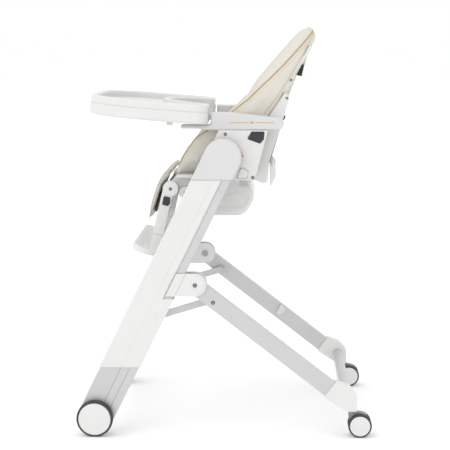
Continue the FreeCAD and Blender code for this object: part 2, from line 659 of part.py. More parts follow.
def band(line, near, far):
    """A strip along a polyline, between two distances to its left-hand side."""
    offsets = []
    for i, point in enumerate(line):
        before = line[max(i - 1, 0)]
        after = line[min(i + 1, len(line) - 1)]
        step = (after[0] - before[0], after[1] - before[1])
        length = math.hypot(*step)
        offsets.append((-step[1] / length, step[0] / length))
    first = [(p[0] + o[0] * near, p[1] + o[1] * near) for p, o in zip(line, offsets)]
    second = [(p[0] + o[0] * far, p[1] + o[1] * far) for p, o in zip(line, offsets)]
    return first + second[::-1]


def carriage_side_plate():
    """The side of the seat carriage, with openings for its button and lever, and a hinge pin."""
    outline = [(-16, ARM_BOTTOM_Z), (-30, 748, 12), (-62, 692, 12), (-58, 652, 10), (70, 652, 12),
               (80, 668, 12), (109, ARM_BOTTOM_Z)]
    plate = soft_plate(outline, SIDE_PLATE_X, 3.0, both=False)
    cut_x = (SIDE_PLATE_X[0] - 1, SIDE_PLATE_X[1] + 1)
    plate = plate.cut(side_plate(around(LEVER_OUTLINE, PRESS_GAP), cut_x))
    plate = plate.cut(side_plate(around(BUTTON_OUTLINE, PRESS_GAP), cut_x))
    pin = rod(RECLINE_Y, RECLINE_Z, RECLINE_PIN_RADIUS, (POST_X[0] - 4, SIDE_PLATE_X[0] + 2))
    return fused([plate, pin])


def slider_block():
    """The block that slides in the leg's channel and carries one side of the seat."""
    neck_x = (SIDE_PLATE_X[1], SLIDER_HEAD_X[0] + 1)
    neck = leg_block((-SLIDER_NECK, SLIDER_NECK), SLIDER_UP, neck_x)
    head = leg_block((-SLIDER_HEAD, SLIDER_HEAD), SLIDER_UP, SLIDER_HEAD_X)
    return fused([neck, head])


def seat_shell():
    """The seat's plastic pan, with two front brackets that hold the leg rest's pins."""
    pan = side_plate([(-125, 656, 3), (-125, 663.5, 3), (44, 663.5), (58, 656)],
                     (-SIDE_PLATE_X[0], SIDE_PLATE_X[0]))
    inner = HUB_X[0] - 2.5
    outline = [(-128, 657), (-60, 657), (-85, 640, 10), (-92, 600, 12), (-112, 600, 12),
               (-122, 612, 6), (LEG_REST_Y, LEG_REST_Z - 20, 14), (LEG_REST_Y - 18, LEG_REST_Z, 14)]
    cheek = side_plate(outline, (inner - 16, inner))
    pin = rod(LEG_REST_Y, LEG_REST_Z, HUB_PIN_RADIUS, (inner - 8, HUB_X[1] - 4))
    rear_hub = rod(-102, 616, 16, (inner, HUB_X[1] - 2))
    return fused([pan, cheek, pin, rear_hub, mirrored(cheek), mirrored(pin), mirrored(rear_hub)])


def under_shell():
    """The rounded housing below the seat that covers its recline and height mechanism."""
    sides = [(-58, 547, 28), (46, 547, 38), (77, 594, 34), (60, 631, 24), (34, 634, 4)]
    outline = [(-75, UNDER_TOP_Z)] + sides + [(34, UNDER_TOP_Z)]
    solid = soft_plate(outline, (-UNDER_HALF, UNDER_HALF), UNDER_ROUND)
    above = UNDER_TOP_Z + UNDER_WALL
    wire = corner_wire([(-75, above)] + sides + [(34, above)],
                       lambda y, z: FreeCAD.Vector(UNDER_WALL - UNDER_HALF, y, z))
    inside = Part.Face(wire.makeOffset2D(-UNDER_WALL))
    inside = inside.extrude(FreeCAD.Vector(2 * (UNDER_HALF - UNDER_WALL), 0, 0))
    ends = (UNDER_WALL - UNDER_HALF, UNDER_HALF - UNDER_WALL)
    inside = softened(inside, UNDER_ROUND - UNDER_WALL, lambda e: any(on_x(e, x) for x in ends))
    shell = solid.cut(inside).Solids[0]
    bead = [(-52, 585, 14), (-40, 568, 14), (44, 568, 22), (62, 594, 22), (52, 618, 14)]
    ring = side_plate(bead + [(30, 612, 12), (-30, 590, 16)], (UNDER_HALF - BEAD_DEPTH, UNDER_HALF + 1))
    middle = side_plate([(y * 0.88 + 0.6, z * 0.88 + 70.6, r * 0.8) for y, z, r in bead
                         + [(30, 612, 12), (-30, 590, 16)]], (UNDER_HALF - BEAD_DEPTH - 1, UNDER_HALF + 2))
    groove = ring.cut(middle)
    return shell.cut(groove).cut(mirrored(groove)).Solids[0]


def armrest():
    """An armrest with a slim tongue in front that the tray slides over."""
    outline = [(ARM_FRONT_Y, ARM_TOP_FRONT_Z, 3), (20, ARM_TOP_FRONT_Z - 0.6),
               (ARM_REAR_Y - 6, ARM_TOP_REAR_Z, 6), (ARM_REAR_Y, 795, 8),
               (ARM_REAR_Y - 8, ARM_BOTTOM_Z + 1.5, 5), (20, ARM_BOTTOM_Z),
               (-48, ARM_BOTTOM_Z, 6), (-66, ARM_TONGUE_BOTTOM_Z, 6),
               (ARM_TONGUE_Y, ARM_TONGUE_BOTTOM_Z, 4), (ARM_TONGUE_Y, ARM_TONGUE_TOP_Z, 4),
               (ARM_FRONT_Y, ARM_TONGUE_TOP_Z, 3)]
    return soft_plate(outline, ARM_X, 4.0)


def seat_screws():
    """The small socket screws on the side plates and the leg rest's hubs."""
    screws = []
    for y, z in ((RECLINE_Y, RECLINE_Z), (1, 769)):
        screws.append(rod(y, z, 4.5, (SIDE_PLATE_X[1], SIDE_PLATE_X[1] + 1.2)))
    screws.append(rod(-102, 616, 4.5, (HUB_X[1] - 2, HUB_X[1] - 0.8)))
    return Part.makeCompound([s for screw in screws for s in (screw, mirrored(screw))])


def seat_pad():
    """The seat's padded cover: a base and two side walls under the armrests."""
    base_outline = [(-134, 664, 6), (-124, 690, 10), (44, 690, 4), (44, 664)]
    half = SEAT_HALF + 3
    base = side_plate(base_outline, (-half, half))
    wall = [(-134, 664, 4), (-122, 692, 20), (-102, 736, 30), (-66, 774, 12), (30, 774, 6),
            (36, 700, 6), (44, 664)]
    side = side_plate(wall, (half - SEAT_PAD_SIDE - 3, half))
    return fused([base, side, mirrored(side)])


SEAT_TOP_Z = 690.0
STRAP_THICK = 2.5


def waist_straps():
    """Two waist straps lying on the seat from its sides to the buckle."""
    strap = box((29, 150), (-6, 22), (SEAT_TOP_Z, SEAT_TOP_Z + STRAP_THICK))
    return pair(strap)


def crotch_strap():
    """The strap that comes up between the legs."""
    return box((-17, 17), (-92, -19), (SEAT_TOP_Z, SEAT_TOP_Z + STRAP_THICK))


def harness_buckle():
    """The buckle where the five straps meet."""
    body = plan_plate([(-28, -18, 8), (28, -18, 8), (28, 28, 12), (-28, 28, 12)],
                      (SEAT_TOP_Z + 0.1, SEAT_TOP_Z + 13))
    return body.makeFillet(2.5, [e for e in body.Edges if e.BoundBox.ZMin > SEAT_TOP_Z + 12])


def height_lever():
    """The black squeeze lever that frees the seat to slide on the legs."""
    return soft_plate(LEVER_OUTLINE, (SIDE_PLATE_X[0] + 6, SIDE_PLATE_X[1] + BUTTON_PROUD), 1.2)


def fold_button():
    """The D-shaped button that frees the fold."""
    return soft_plate(BUTTON_OUTLINE, (SIDE_PLATE_X[0] + 6, SIDE_PLATE_X[1] + BUTTON_PROUD), 1.2)


# ---------------------------------------------------------------- backrest
def front_trim(low_z):
    """The backrest's outline seen from the front, as a deep block to keep what is inside it."""
    points = [(-BACK_HALF, low_z, 20), (BACK_HALF, low_z, 20), (BACK_HALF, 850, 150),
              (BACK_TOP_HALF + 8, 1042, 75), (-BACK_TOP_HALF - 8, 1042, 75), (-BACK_HALF, 850, 150)]
    wire = corner_wire(points, lambda x, z: FreeCAD.Vector(x, -200, z))
    return Part.Face(wire).extrude(FreeCAD.Vector(0, 600, 0))


def backrest_pad():
    """The back's padded cover: a padded back with a deep wing on each side."""
    line = RECLINE_LINE
    slab = side_plate(band(line, 0, BACK_PAD_THICK), (-BACK_HALF, BACK_HALF))
    wing_front = [(208, 1030), (200, 1008), (149, 943), (79, 878), (53, 854), (6, 824, 10),
                  (-2, 790, 20), (8, 740, 20), (34, 700, 8)]
    outline = [line[-1]] + wing_front + line[:-1]
    wing = side_plate(outline, (BACK_HALF - WING_THICK, BACK_HALF))
    pad = fused([slab, wing, mirrored(wing)])
    return pad.common(front_trim(680)).removeSplitter()


def back_shell():
    """The back's plastic shell: a panel behind the pad and a ribbed housing on it."""
    line = RECLINE_LINE[1:-1]
    panel = side_plate(band(line, -0.3, -5.3), (-140, 140))
    housing = [(104, 806), (152, 815, 4), (160, 850), (171, 884), (184, 918, 6), (203, 939, 6),
               (211, 972, 6), (206, 984), (150, 884)]
    ribs = side_plate(housing, (-100, 100))
    slot = side_plate([(200, 990), (150, 905), (190, 900), (240, 980)], (-92, 92))
    shell = fused([panel, ribs.cut(slot)])
    pad_space = side_plate(band(RECLINE_LINE, -0.3, 60), (-200, 200))
    return shell.cut(pad_space)


def back_posts():
    """Two posts that carry the back shell and turn on the carriage's hinge pins."""
    outline = [(75, 646, 8), (107, 634, 10), (113, 696), (139, 775), (164, 859, 5), (152, 872, 2),
               (112, 812), (96, 775), (70, 690), (58, 668, 8), (60, 652, 8)]
    post = side_plate(outline, POST_X)
    post = post.cut(side_plate(band(RECLINE_LINE, -5.6, 60), (-200, 200)))
    knuckle = rod(RECLINE_Y, RECLINE_Z, 13, POST_X)
    post = fused([post, knuckle])
    hole = rod(RECLINE_Y, RECLINE_Z, grown(RECLINE_PIN_RADIUS), (POST_X[0] - 6, POST_X[1] + 6))
    return pair(post.cut(hole))


def shoulder_straps():
    """Two shoulder straps that lie on the back pad."""
    line = RECLINE_LINE[1:-1]
    outline = band(line, BACK_PAD_THICK + 0.1, BACK_PAD_THICK + 0.1 + STRAP_THICK)
    return pair(side_plate(outline, (32, 60)))


def strap_tab():
    """The black webbing tab that comes out of the back shell."""
    tab = side_plate([(186, 939.6, 1), (202, 939.6, 1), (197, 913, 1), (181, 918, 1)], (101, 126))
    return tab.cut(side_plate(band(RECLINE_LINE, -5.6, 60), (90, 140)))


def recline_lever():
    """The lever behind the posts that frees the recline."""
    outline = [(113.6, 684, 2), (123, 683, 3), (130, 671, 4), (129, 655, 4), (116.6, 628, 4),
               (113.6, 640, 1)]
    grip = soft_plate(outline, (UNDER_HALF + 4, POST_X[1]), 2.0)
    bar = rod(121, 672, 4, (-POST_X[1], POST_X[1]))
    return fused([bar, grip, mirrored(grip)])


# ---------------------------------------------------------------- leg rest and footrest
def ring_line(y, z, radius, face_x):
    """A thin ring to cut from a face at this X, just inside the given radius."""
    x_range = (face_x - LINE_DEPTH, face_x + 1)
    return rod(y, z, radius, x_range).cut(rod(y, z, radius - 1.2, x_range))


def arm_block(along, ahead, x_range):
    """A block square to the leg rest's arms."""
    corners = [(along[0], ahead[0]), (along[1], ahead[0]), (along[1], ahead[1]), (along[0], ahead[1])]
    return side_plate([foot_arm(*corner) for corner in corners], x_range)


def leg_rest_arms():
    """Two hubs with hollow arms below them, joined by a bar, which the footrest's rods slide in."""
    half = ARM_SLEEVE_DEPTH / 2
    hub = rod(LEG_REST_Y, LEG_REST_Z, HUB_RADIUS, HUB_X)
    arm = arm_block((0, ARM_SLEEVE_LENGTH), (ARM_AHEAD - half, ARM_AHEAD + half), HUB_X)
    arm = fused([hub, arm])
    arm = arm.cut(rod(LEG_REST_Y, LEG_REST_Z, grown(HUB_PIN_RADIUS), (HUB_X[0] - 1, HUB_X[1] - 3)))
    hole_half = ROD_DEPTH / 2 + ROD_GAP
    hole_x = (ROD_X[0] - ROD_GAP, ROD_X[1] + ROD_GAP)
    hole_ahead = (ARM_AHEAD - hole_half, ARM_AHEAD + hole_half)
    hole = arm_block((26, ARM_SLEEVE_LENGTH + 1), hole_ahead, hole_x)
    arm = arm.cut(hole)
    window = side_plate(around(foot_button_outline(), 0.6), (ROD_X[1], HUB_X[1] + 1))
    arm = arm.cut(window).cut(ring_line(LEG_REST_Y, LEG_REST_Z, HUB_RADIUS, HUB_X[1]))
    bar = rod(*foot_arm(100, ARM_AHEAD), 5, (-HUB_X[0], HUB_X[0]))
    tabs = arm_block((60, 104), (6, 10), (FLAP_HALF - 30, HUB_X[0]))
    return fused([arm, mirrored(arm), bar, tabs, mirrored(tabs)])


def foot_button_outline():
    """The outline of the footrest's catch button on the arm."""
    corners = [(22, 12, 3), (44, 12, 3), (44, -3, 3), (36, -7, 3), (22, -4, 3)]
    return [foot_arm(along, ahead) + (radius,) for along, ahead, radius in corners]


def footrest_button():
    """A black catch button in the outer face of the arm."""
    return side_plate(foot_button_outline(), (ROD_X[1] + ROD_GAP + 3, HUB_X[1] + BUTTON_PROUD))


def flap_line():
    """The calf flap's front line in the side view, from under the seat to its lower end."""
    return [(-164, 641), (-176, 620), (-187, 594), (-197, 566), (-201, 540)]


def calf_flap():
    """The padded flap that the calves rest on."""
    outline = band(flap_line(), 0, FLAP_THICK)
    return side_plate(outline, (-FLAP_HALF, FLAP_HALF))


def calf_board():
    """The stiff black board behind the flap, fixed to the arms' tabs."""
    gap = 0.2
    outline = band(flap_line()[:-1], FLAP_THICK + gap, FLAP_THICK + gap + BOARD_THICK)
    return side_plate(outline, (-FLAP_HALF + 8, FLAP_HALF - 8))


def footrest():
    """A thin tread with rounded front corners, on uprights whose rods slide in the arms."""
    outline = [(-243, 487, 7), (-239, 465, 8), (-160, 447, 8), (-150, 466, 6), (-180, 468, 8),
               (-214, 475, 12)]
    tread = soft_plate(outline, (-FOOT_HALF, FOOT_HALF), 4.0)
    plan = [(-FOOT_HALF, FOOT_FRONT_Y, FOOT_CORNER), (FOOT_HALF, FOOT_FRONT_Y, FOOT_CORNER),
            (FOOT_HALF, LEG_REST_Y), (-FOOT_HALF, LEG_REST_Y)]
    tread = tread.common(plan_plate(plan, (430, 500)))
    half = ARM_SLEEVE_DEPTH / 2
    upright = arm_block((ARM_SLEEVE_LENGTH + 0.6, FOOT_REACH), (ARM_AHEAD - half, ARM_AHEAD + half), HUB_X)
    rod_ahead = (ARM_AHEAD - ROD_DEPTH / 2, ARM_AHEAD + ROD_DEPTH / 2)
    slide_rod = arm_block((ARM_SLEEVE_LENGTH - 88, 150), rod_ahead, ROD_X)
    leg_side = fused([upright, slide_rod])
    return fused([tread, leg_side, mirrored(leg_side)])


# ---------------------------------------------------------------- tray
def tray_place(shape):
    """Tilts a piece modelled level and sets it at the tray's place."""
    shape.rotate(FreeCAD.Vector(0, 0, 0), FreeCAD.Vector(1, 0, 0), -TRAY_PITCH)
    shape.translate(FreeCAD.Vector(0, TRAY_Y, TRAY_LIP_Z))
    return shape


def tray_plate(inset, z_range):
    """The tray's plan, drawn in by an inset, between two heights."""
    half = TRAY_HALF - inset
    front = TRAY_FRONT + inset
    back = TRAY_REAR - inset
    front_corner = TRAY_FRONT_CORNER - inset
    rear_corner = max(TRAY_REAR_CORNER - inset, 4)
    points = [(-half, front, front_corner), (half, front, front_corner),
              (half, back, rear_corner), (-half, back, rear_corner)]
    plate = plan_plate(points, z_range)
    height = z_range[1] - z_range[0]
    belly = Part.makeCylinder(TRAY_BELLY_RADIUS + inset, height + 2,
                              FreeCAD.Vector(0, TRAY_REAR + TRAY_BELLY_BACK, z_range[0] - 1))
    plate = plate.cut(belly)
    belly_half = math.sqrt((TRAY_BELLY_RADIUS + inset) ** 2 - (TRAY_BELLY_BACK + inset) ** 2)

    def at_ear(edge):
        upright = edge.BoundBox.ZLength > height - 0.01 and edge.BoundBox.XLength < 0.01
        return upright and abs(abs(edge.BoundBox.XMin) - belly_half) < 1

    return softened(plate, TRAY_EAR_RADIUS, at_ear)


def tray_base():
    """The tray's lower shell, open underneath."""
    base = tray_plate(0, (-TRAY_BASE_DEPTH, 0))
    base = softened(base, 7.0, lambda e: e.BoundBox.ZMax < -TRAY_BASE_DEPTH + 0.1)
    return tray_place(base.cut(tray_plate(TRAY_WALL, (-TRAY_BASE_DEPTH - 1, -TRAY_WALL - 1))))


def tray_insert():
    """The removable upper dish with a raised rim all round."""
    dish = tray_plate(1.5, (0.2, TRAY_RIM_HEIGHT))
    recess_z = (TRAY_RIM_HEIGHT - TRAY_RECESS_DEPTH, TRAY_RIM_HEIGHT + 1)
    dish = dish.cut(tray_plate(TRAY_RIM_WIDTH, recess_z))
    return tray_place(softened(dish, 6.0, lambda e: e.BoundBox.ZMin > TRAY_RIM_HEIGHT - 0.1))


def tray_release():
    """The bar under the tray with a finger tab at each end, which frees the tray."""
    low = -TRAY_BASE_DEPTH - 8
    high = -TRAY_BASE_DEPTH + 10
    pieces = [box((-238, 238), (22, 30), (-TRAY_BASE_DEPTH + 4, high))]
    for side in (-1, 1):
        middle = side * 226
        arm = box((middle - 12, middle + 12), (22, 70), (-TRAY_BASE_DEPTH + 4, high))
        tab = box((middle - 12, middle + 12), (56, 70), (low, high))
        pieces += [arm, tab]
    return tray_place(fused(pieces))


# ---------------------------------------------------------------- all nodes
def caster_parts():
    """The pieces of the right-hand caster by name."""
    return {"caster_fork": caster_fork(), "caster_tyres": caster_tyres(),
            "caster_hubs": caster_hubs()}


def build():
    """Every node of the chair by name."""
    nodes = {}
    sided = {
        "front_leg_post": front_leg_post(), "leg_sleeve": leg_sleeve(), "leg_cap": leg_cap(),
        "front_tyre": front_tyre(), "front_wheel": front_wheel(), "fold_bracket": fold_bracket(),
        "corner_shoe": corner_shoe(), "side_plate": carriage_side_plate(), "armrest": armrest(),
        "height_lever": height_lever(), "fold_button": fold_button(),
        "footrest_button": footrest_button(),
    }
    sided.update(caster_parts())
    for name, shape in sided.items():
        nodes[name + "_right"] = shape
        nodes[name + "_left"] = mirrored(shape)
    nodes["front_crossbar"] = front_crossbar()
    nodes["front_axles"] = pair(front_axle())
    nodes["sleeve_plugs"] = pair(sleeve_plug())
    nodes["strut_leg_pins"] = pair(strut_leg_pin())
    nodes["pivot_bolts"] = pair(pivot_bolt())
    nodes["fold_struts"] = pair(fold_strut())
    nodes["rear_leg_frame"] = rear_leg_frame()
    nodes["tray_hooks"] = pair(tray_hook())
    nodes["strut_rivets"] = pair(strut_rivet())
    nodes["slider_blocks"] = pair(slider_block())
    nodes["seat_shell"] = seat_shell()
    nodes["under_shell"] = under_shell()
    nodes["seat_screws"] = seat_screws()
    nodes["seat_pad"] = seat_pad()
    nodes["waist_straps"] = waist_straps()
    nodes["crotch_strap"] = crotch_strap()
    nodes["harness_buckle"] = harness_buckle()
    nodes["backrest_pad"] = backrest_pad()
    nodes["back_shell"] = back_shell()
    nodes["back_posts"] = back_posts()
    nodes["shoulder_straps"] = shoulder_straps()
    nodes["strap_tab"] = strap_tab()
    nodes["recline_lever"] = recline_lever()
    nodes["leg_rest_arms"] = leg_rest_arms()
    nodes["calf_flap"] = calf_flap()
    nodes["calf_board"] = calf_board()
    nodes["footrest"] = footrest()
    nodes["tray_base"] = tray_base()
    nodes["tray_insert"] = tray_insert()
    nodes["tray_release"] = tray_release()
    return nodes


os.makedirs("parts", exist_ok=True)
for node_name, node_shape in build().items():
    node_shape.exportStep("parts/" + node_name + ".step")
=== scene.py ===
"""The looks of a baby high chair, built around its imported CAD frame. Lengths are in metres."""

import json
import math

import bmesh
import bpy
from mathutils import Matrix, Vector
from mathutils.bvhtree import BVHTree


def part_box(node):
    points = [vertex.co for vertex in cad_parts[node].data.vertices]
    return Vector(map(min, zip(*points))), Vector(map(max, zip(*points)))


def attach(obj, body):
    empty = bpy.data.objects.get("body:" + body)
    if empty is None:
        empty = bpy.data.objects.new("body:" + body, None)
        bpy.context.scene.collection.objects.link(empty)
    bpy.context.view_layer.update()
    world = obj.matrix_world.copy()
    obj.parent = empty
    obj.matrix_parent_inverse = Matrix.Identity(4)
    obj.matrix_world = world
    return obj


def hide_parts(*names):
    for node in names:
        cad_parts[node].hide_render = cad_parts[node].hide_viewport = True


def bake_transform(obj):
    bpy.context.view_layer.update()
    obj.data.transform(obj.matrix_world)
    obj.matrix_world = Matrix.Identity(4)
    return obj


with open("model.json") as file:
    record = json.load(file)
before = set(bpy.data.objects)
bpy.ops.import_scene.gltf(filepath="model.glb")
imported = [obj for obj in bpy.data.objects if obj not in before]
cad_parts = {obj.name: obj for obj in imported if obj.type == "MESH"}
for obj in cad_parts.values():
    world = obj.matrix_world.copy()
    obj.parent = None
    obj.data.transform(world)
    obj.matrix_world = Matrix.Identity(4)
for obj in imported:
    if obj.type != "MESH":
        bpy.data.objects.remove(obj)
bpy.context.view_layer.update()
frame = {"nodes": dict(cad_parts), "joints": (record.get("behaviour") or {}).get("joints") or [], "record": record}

MM = 0.001
JOINTS = {joint["name"]: joint for joint in frame["joints"]}
RECLINE = Vector(JOINTS["recline"]["pos_m"])
LEG_REST_HINGE = Vector(JOINTS["leg_rest_tilt"]["pos_m"])
SIDE_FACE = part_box("side_plate_right")[1].x
ARM_LOW, ARM_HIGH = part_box("armrest_right")

# ---------------------------------------------------------------- material helpers


def link(material, source, target):
    """Joins an output socket to an input socket."""
    material.node_tree.links.new(source, target)


def add_node(material, kind, **settings):
    """A new shader node with the given properties and, in inputs, socket values."""
    node = material.node_tree.nodes.new(kind)
    inputs = settings.pop("inputs", {})
    for key, value in settings.items():
        setattr(node, key, value)
    for key, value in inputs.items():
        node.inputs[key].default_value = value
    return node


def start_material(name, metallic=0.0, **sockets):
    """A material with its principled shader, and the object coordinates its textures use."""
    material = bpy.data.materials.new(name)
    material.use_nodes = True
    shader = material.node_tree.nodes["Principled BSDF"]
    shader.inputs["Metallic"].default_value = metallic
    for key, value in sockets.items():
        shader.inputs[key.replace("_", " ")].default_value = value
    coordinates = add_node(material, "ShaderNodeTexCoord").outputs["Object"]
    return material, shader, coordinates


def stretched(material, coordinates, scale, rotation=(0, 0, 0)):
    """Coordinates turned and scaled by different amounts along each axis."""
    mapping = add_node(material, "ShaderNodeMapping", inputs={"Scale": scale, "Rotation": rotation})
    link(material, coordinates, mapping.inputs["Vector"])
    return mapping.outputs["Vector"]


def noise(material, coordinates, scale, detail=4.0, roughness=0.55):
    """A noise texture's value."""
    node = add_node(material, "ShaderNodeTexNoise",
                    inputs={"Scale": scale, "Detail": detail, "Roughness": roughness})
    link(material, coordinates, node.inputs["Vector"])
    return node.outputs["Fac"]


def spread(material, value, low, high):
    """Maps the middle of a noise's range to a range of numbers."""
    node = add_node(material, "ShaderNodeMapRange",
                    inputs={"From Min": 0.3, "From Max": 0.7, "To Min": low, "To Max": high})
    link(material, value, node.inputs["Value"])
    return node.outputs["Result"]


def two_tone(material, shader, value, colour, shade):
    """Colours the shader between a colour and a darker shade of it, by a texture's value."""
    mix = add_node(material, "ShaderNodeMix", data_type="RGBA")
    darker = [channel * shade for channel in colour]
    mix.inputs["A"].default_value = (*darker, 1)
    mix.inputs["B"].default_value = (*colour, 1)
    link(material, spread(material, value, 0, 1), mix.inputs["Factor"])
    link(material, mix.outputs["Result"], shader.inputs["Base Color"])


def add_bump(material, shader, heights):
    """Chains bump nodes, one for each (height value, strength, depth in metres)."""
    before = None
    for height, strength, depth in heights:
        bump = add_node(material, "ShaderNodeBump", inputs={"Strength": strength, "Distance": depth})
        link(material, height, bump.inputs["Height"])
        if before:
            link(material, before, bump.inputs["Normal"])
        before = bump.outputs["Normal"]
    link(material, before, shader.inputs["Normal"])


# ---------------------------------------------------------------- materials


def moulded_plastic(name, colour, roughness, grain=1.0, coat=0.15):
    """Moulded plastic: fine spark texture, faint flow mottling, and uneven gloss."""
    material, shader, place = start_material(name, Coat_Weight=coat, Coat_Roughness=0.25)
    two_tone(material, shader, noise(material, place, 9.0), colour, 0.965)
    link(material, spread(material, noise(material, place, 30.0), roughness - 0.05, roughness + 0.05),
         shader.inputs["Roughness"])
    add_bump(material, shader, [(noise(material, place, 1800.0, 2.0), 0.10 * grain, 0.0002),
                                (noise(material, place, 14.0, 1.0), 0.05, 0.002)])
    return material


def brushed_metal(name, colour, roughness, metallic, lean_degrees=0.0, streak=1.0):
    """Extruded or drawn metal with fine lines along its length and a satin finish."""
    material, shader, place = start_material(name, metallic=metallic)
    turn = (math.radians(lean_degrees), 0, 0)
    lines = noise(material, stretched(material, place, (900, 900, 9), turn), 1.0, 3.0)
    two_tone(material, shader, noise(material, place, 12.0), colour, 0.95)
    link(material, spread(material, lines, roughness - 0.06, roughness + 0.06),
         shader.inputs["Roughness"])
    add_bump(material, shader, [(lines, 0.06 * streak, 0.0002)])
    return material


def rubber(name, colour):
    """A dark soft tyre with a matt, slightly dusty surface."""
    material, shader, place = start_material(name, Specular_IOR_Level=0.35)
    two_tone(material, shader, noise(material, place, 60.0), colour, 0.8)
    link(material, spread(material, noise(material, place, 90.0), 0.55, 0.75),
         shader.inputs["Roughness"])
    add_bump(material, shader, [(noise(material, place, 900.0, 2.0), 0.2, 0.0003)])
    return material


def leatherette(name, colour, grain_size=0.0016):
    """Padded upholstery: pebbled grain, soft creases, and slightly uneven colour."""
    material, shader, place = start_material(name, Sheen_Weight=0.15, Sheen_Roughness=0.5,
                                             Specular_IOR_Level=0.4)
    cells = add_node(material, "ShaderNodeTexVoronoi", feature="SMOOTH_F1",
                     inputs={"Scale": 1.0 / grain_size, "Smoothness": 0.6})
    link(material, place, cells.inputs["Vector"])
    two_tone(material, shader, noise(material, place, 7.0), colour, 0.955)
    link(material, spread(material, noise(material, place, 40.0), 0.46, 0.6),
         shader.inputs["Roughness"])
    add_bump(material, shader, [(cells.outputs["Distance"], 0.35, 0.0006),
                                (noise(material, place, 22.0, 2.0), 0.12, 0.003)])
    return material


def woven(name, colour, rib=0.0011):
    """Webbing or piping cloth: crossed ribs, with painted shade that darkens the weave where its ribs sink."""
    material, shader, place = start_material(name, Sheen_Weight=0.3, Sheen_Roughness=0.4)
    waves = []
    for turn in ((0, 0, 0), (0, 0, math.pi / 2)):
        wave = add_node(material, "ShaderNodeTexWave", wave_type="BANDS", bands_direction="DIAGONAL",
                        inputs={"Scale": 0.3 / rib, "Distortion": 0.6, "Detail Scale": 2.0})
        link(material, stretched(material, place, (1, 1, 1), turn), wave.inputs["Vector"])
        waves.append(wave.outputs["Fac"])
    product = add_node(material, "ShaderNodeMath", operation="MULTIPLY")
    link(material, waves[0], product.inputs[0])
    link(material, waves[1], product.inputs[1])
    # Painted shade: the rib height that drives the bump also darkens the low parts of the weave.
    two_tone(material, shader, product.outputs["Value"], colour, 0.78)
    shader.inputs["Roughness"].default_value = 0.8
    add_bump(material, shader, [(product.outputs["Value"], 0.5, 0.0004)])
    return material


def printed(name, colour, metallic):
    """A thin printed or foil mark with slightly uneven ink."""
    material, shader, place = start_material(name, metallic=metallic)
    two_tone(material, shader, noise(material, place, 400.0), colour, 0.85)
    shader.inputs["Roughness"].default_value = 0.4
    return material


LEG_TILT = -26.1
MATERIALS = {
    "white_plastic": moulded_plastic("white_plastic", (0.71, 0.71, 0.70), 0.34),
    "sleeve_plastic": moulded_plastic("sleeve_plastic", (0.72, 0.72, 0.71), 0.42, 1.6, 0.05),
    "grey_plastic": moulded_plastic("grey_plastic", (0.63, 0.63, 0.63), 0.38),
    "shadow_grey_plastic": moulded_plastic("shadow_grey_plastic", (0.30, 0.31, 0.32), 0.45),
    "leg_aluminium": brushed_metal("leg_aluminium", (0.57, 0.573, 0.57), 0.42, 0.5, LEG_TILT),
    "rear_tube_paint": brushed_metal("rear_tube_paint", (0.56, 0.562, 0.56), 0.34, 0.4, 52.4, 0.5),
    "steel": brushed_metal("steel", (0.36, 0.40, 0.44), 0.35, 0.9),
    "black_plastic": moulded_plastic("black_plastic", (0.020, 0.024, 0.028), 0.5, 1.5, 0.0),
    "tyre_rubber": rubber("tyre_rubber", (0.045, 0.052, 0.06)),
    "leatherette": leatherette("leatherette", (0.67, 0.645, 0.58)),
    "webbing": woven("webbing", (0.74, 0.72, 0.67)),
    "black_webbing": woven("black_webbing", (0.022, 0.024, 0.028)),
}
PIPING_MATERIAL = woven("piping", (0.58, 0.38, 0.16), 0.0008)
SEAM_MATERIAL = woven("seam_piping", (0.66, 0.60, 0.48), 0.0008)
THREAD_MATERIAL = woven("thread", (0.70, 0.60, 0.44), 0.0006)
GOLD_MATERIAL = printed("gold_mark", (0.62, 0.38, 0.12), 0.35)
RED_MATERIAL = printed("red_mark", (0.55, 0.03, 0.04), 0.0)


def paint_cad_nodes():
    """Gives every CAD node the material of its slot."""
    for row in frame["record"]["subparts"]:
        node = frame["nodes"][row["node"]]
        node.data.materials.clear()
        node.data.materials.append(MATERIALS[row["material_slot"]])


# ---------------------------------------------------------------- mesh helpers


def mesh_object(name, verts, faces, material):
    """A new smooth-shaded mesh object."""
    mesh = bpy.data.meshes.new(name)
    mesh.from_pydata([tuple(v) for v in verts], [], faces)
    mesh.validate()
    mesh.materials.append(material)
    obj = bpy.data.objects.new(name, mesh)
    bpy.context.scene.collection.objects.link(obj)
    bm = bmesh.new()
    bm.from_mesh(mesh)
    bmesh.ops.recalc_face_normals(bm, faces=bm.faces)
    bm.to_mesh(mesh)
    bm.free()
    mesh.polygons.foreach_set("use_smooth", [True] * len(mesh.polygons))
    return obj


def loft(name, rings, material):
    """Joins closed rings of equal length into a closed skin, with a fan at each end."""
    count = len(rings[0])
    verts = [point for ring in rings for point in ring]
    faces = []
    for r in range(len(rings) - 1):
        for i in range(count):
            j = (i + 1) % count
            faces.append((r * count + i, r * count + j, (r + 1) * count + j, (r + 1) * count + i))
    for ring_index in (0, len(rings) - 1):
        ring = rings[ring_index]
        middle = sum((Vector(p) for p in ring), Vector()) / count
        verts.append(middle)
        centre = len(verts) - 1
        for i in range(count):
            faces.append((centre, ring_index * count + i, ring_index * count + (i + 1) % count))
    return mesh_object(name, verts, faces, material)


def tube(name, path, radius, material, sides=8):
    """A round tube along a list of points."""
    rings = []
    for i, point in enumerate(path):
        along = (path[min(i + 1, len(path) - 1)] - path[max(i - 1, 0)]).normalized()
        side = along.cross(Vector((0.3, 0.5, 0.81))).normalized()
        up = along.cross(side)
        ring = []
        for k in range(sides):
            angle = 2 * math.pi * k / sides
            ring.append(point + radius * (side * math.cos(angle) + up * math.sin(angle)))
        rings.append(ring)
    return loft(name, rings, material)


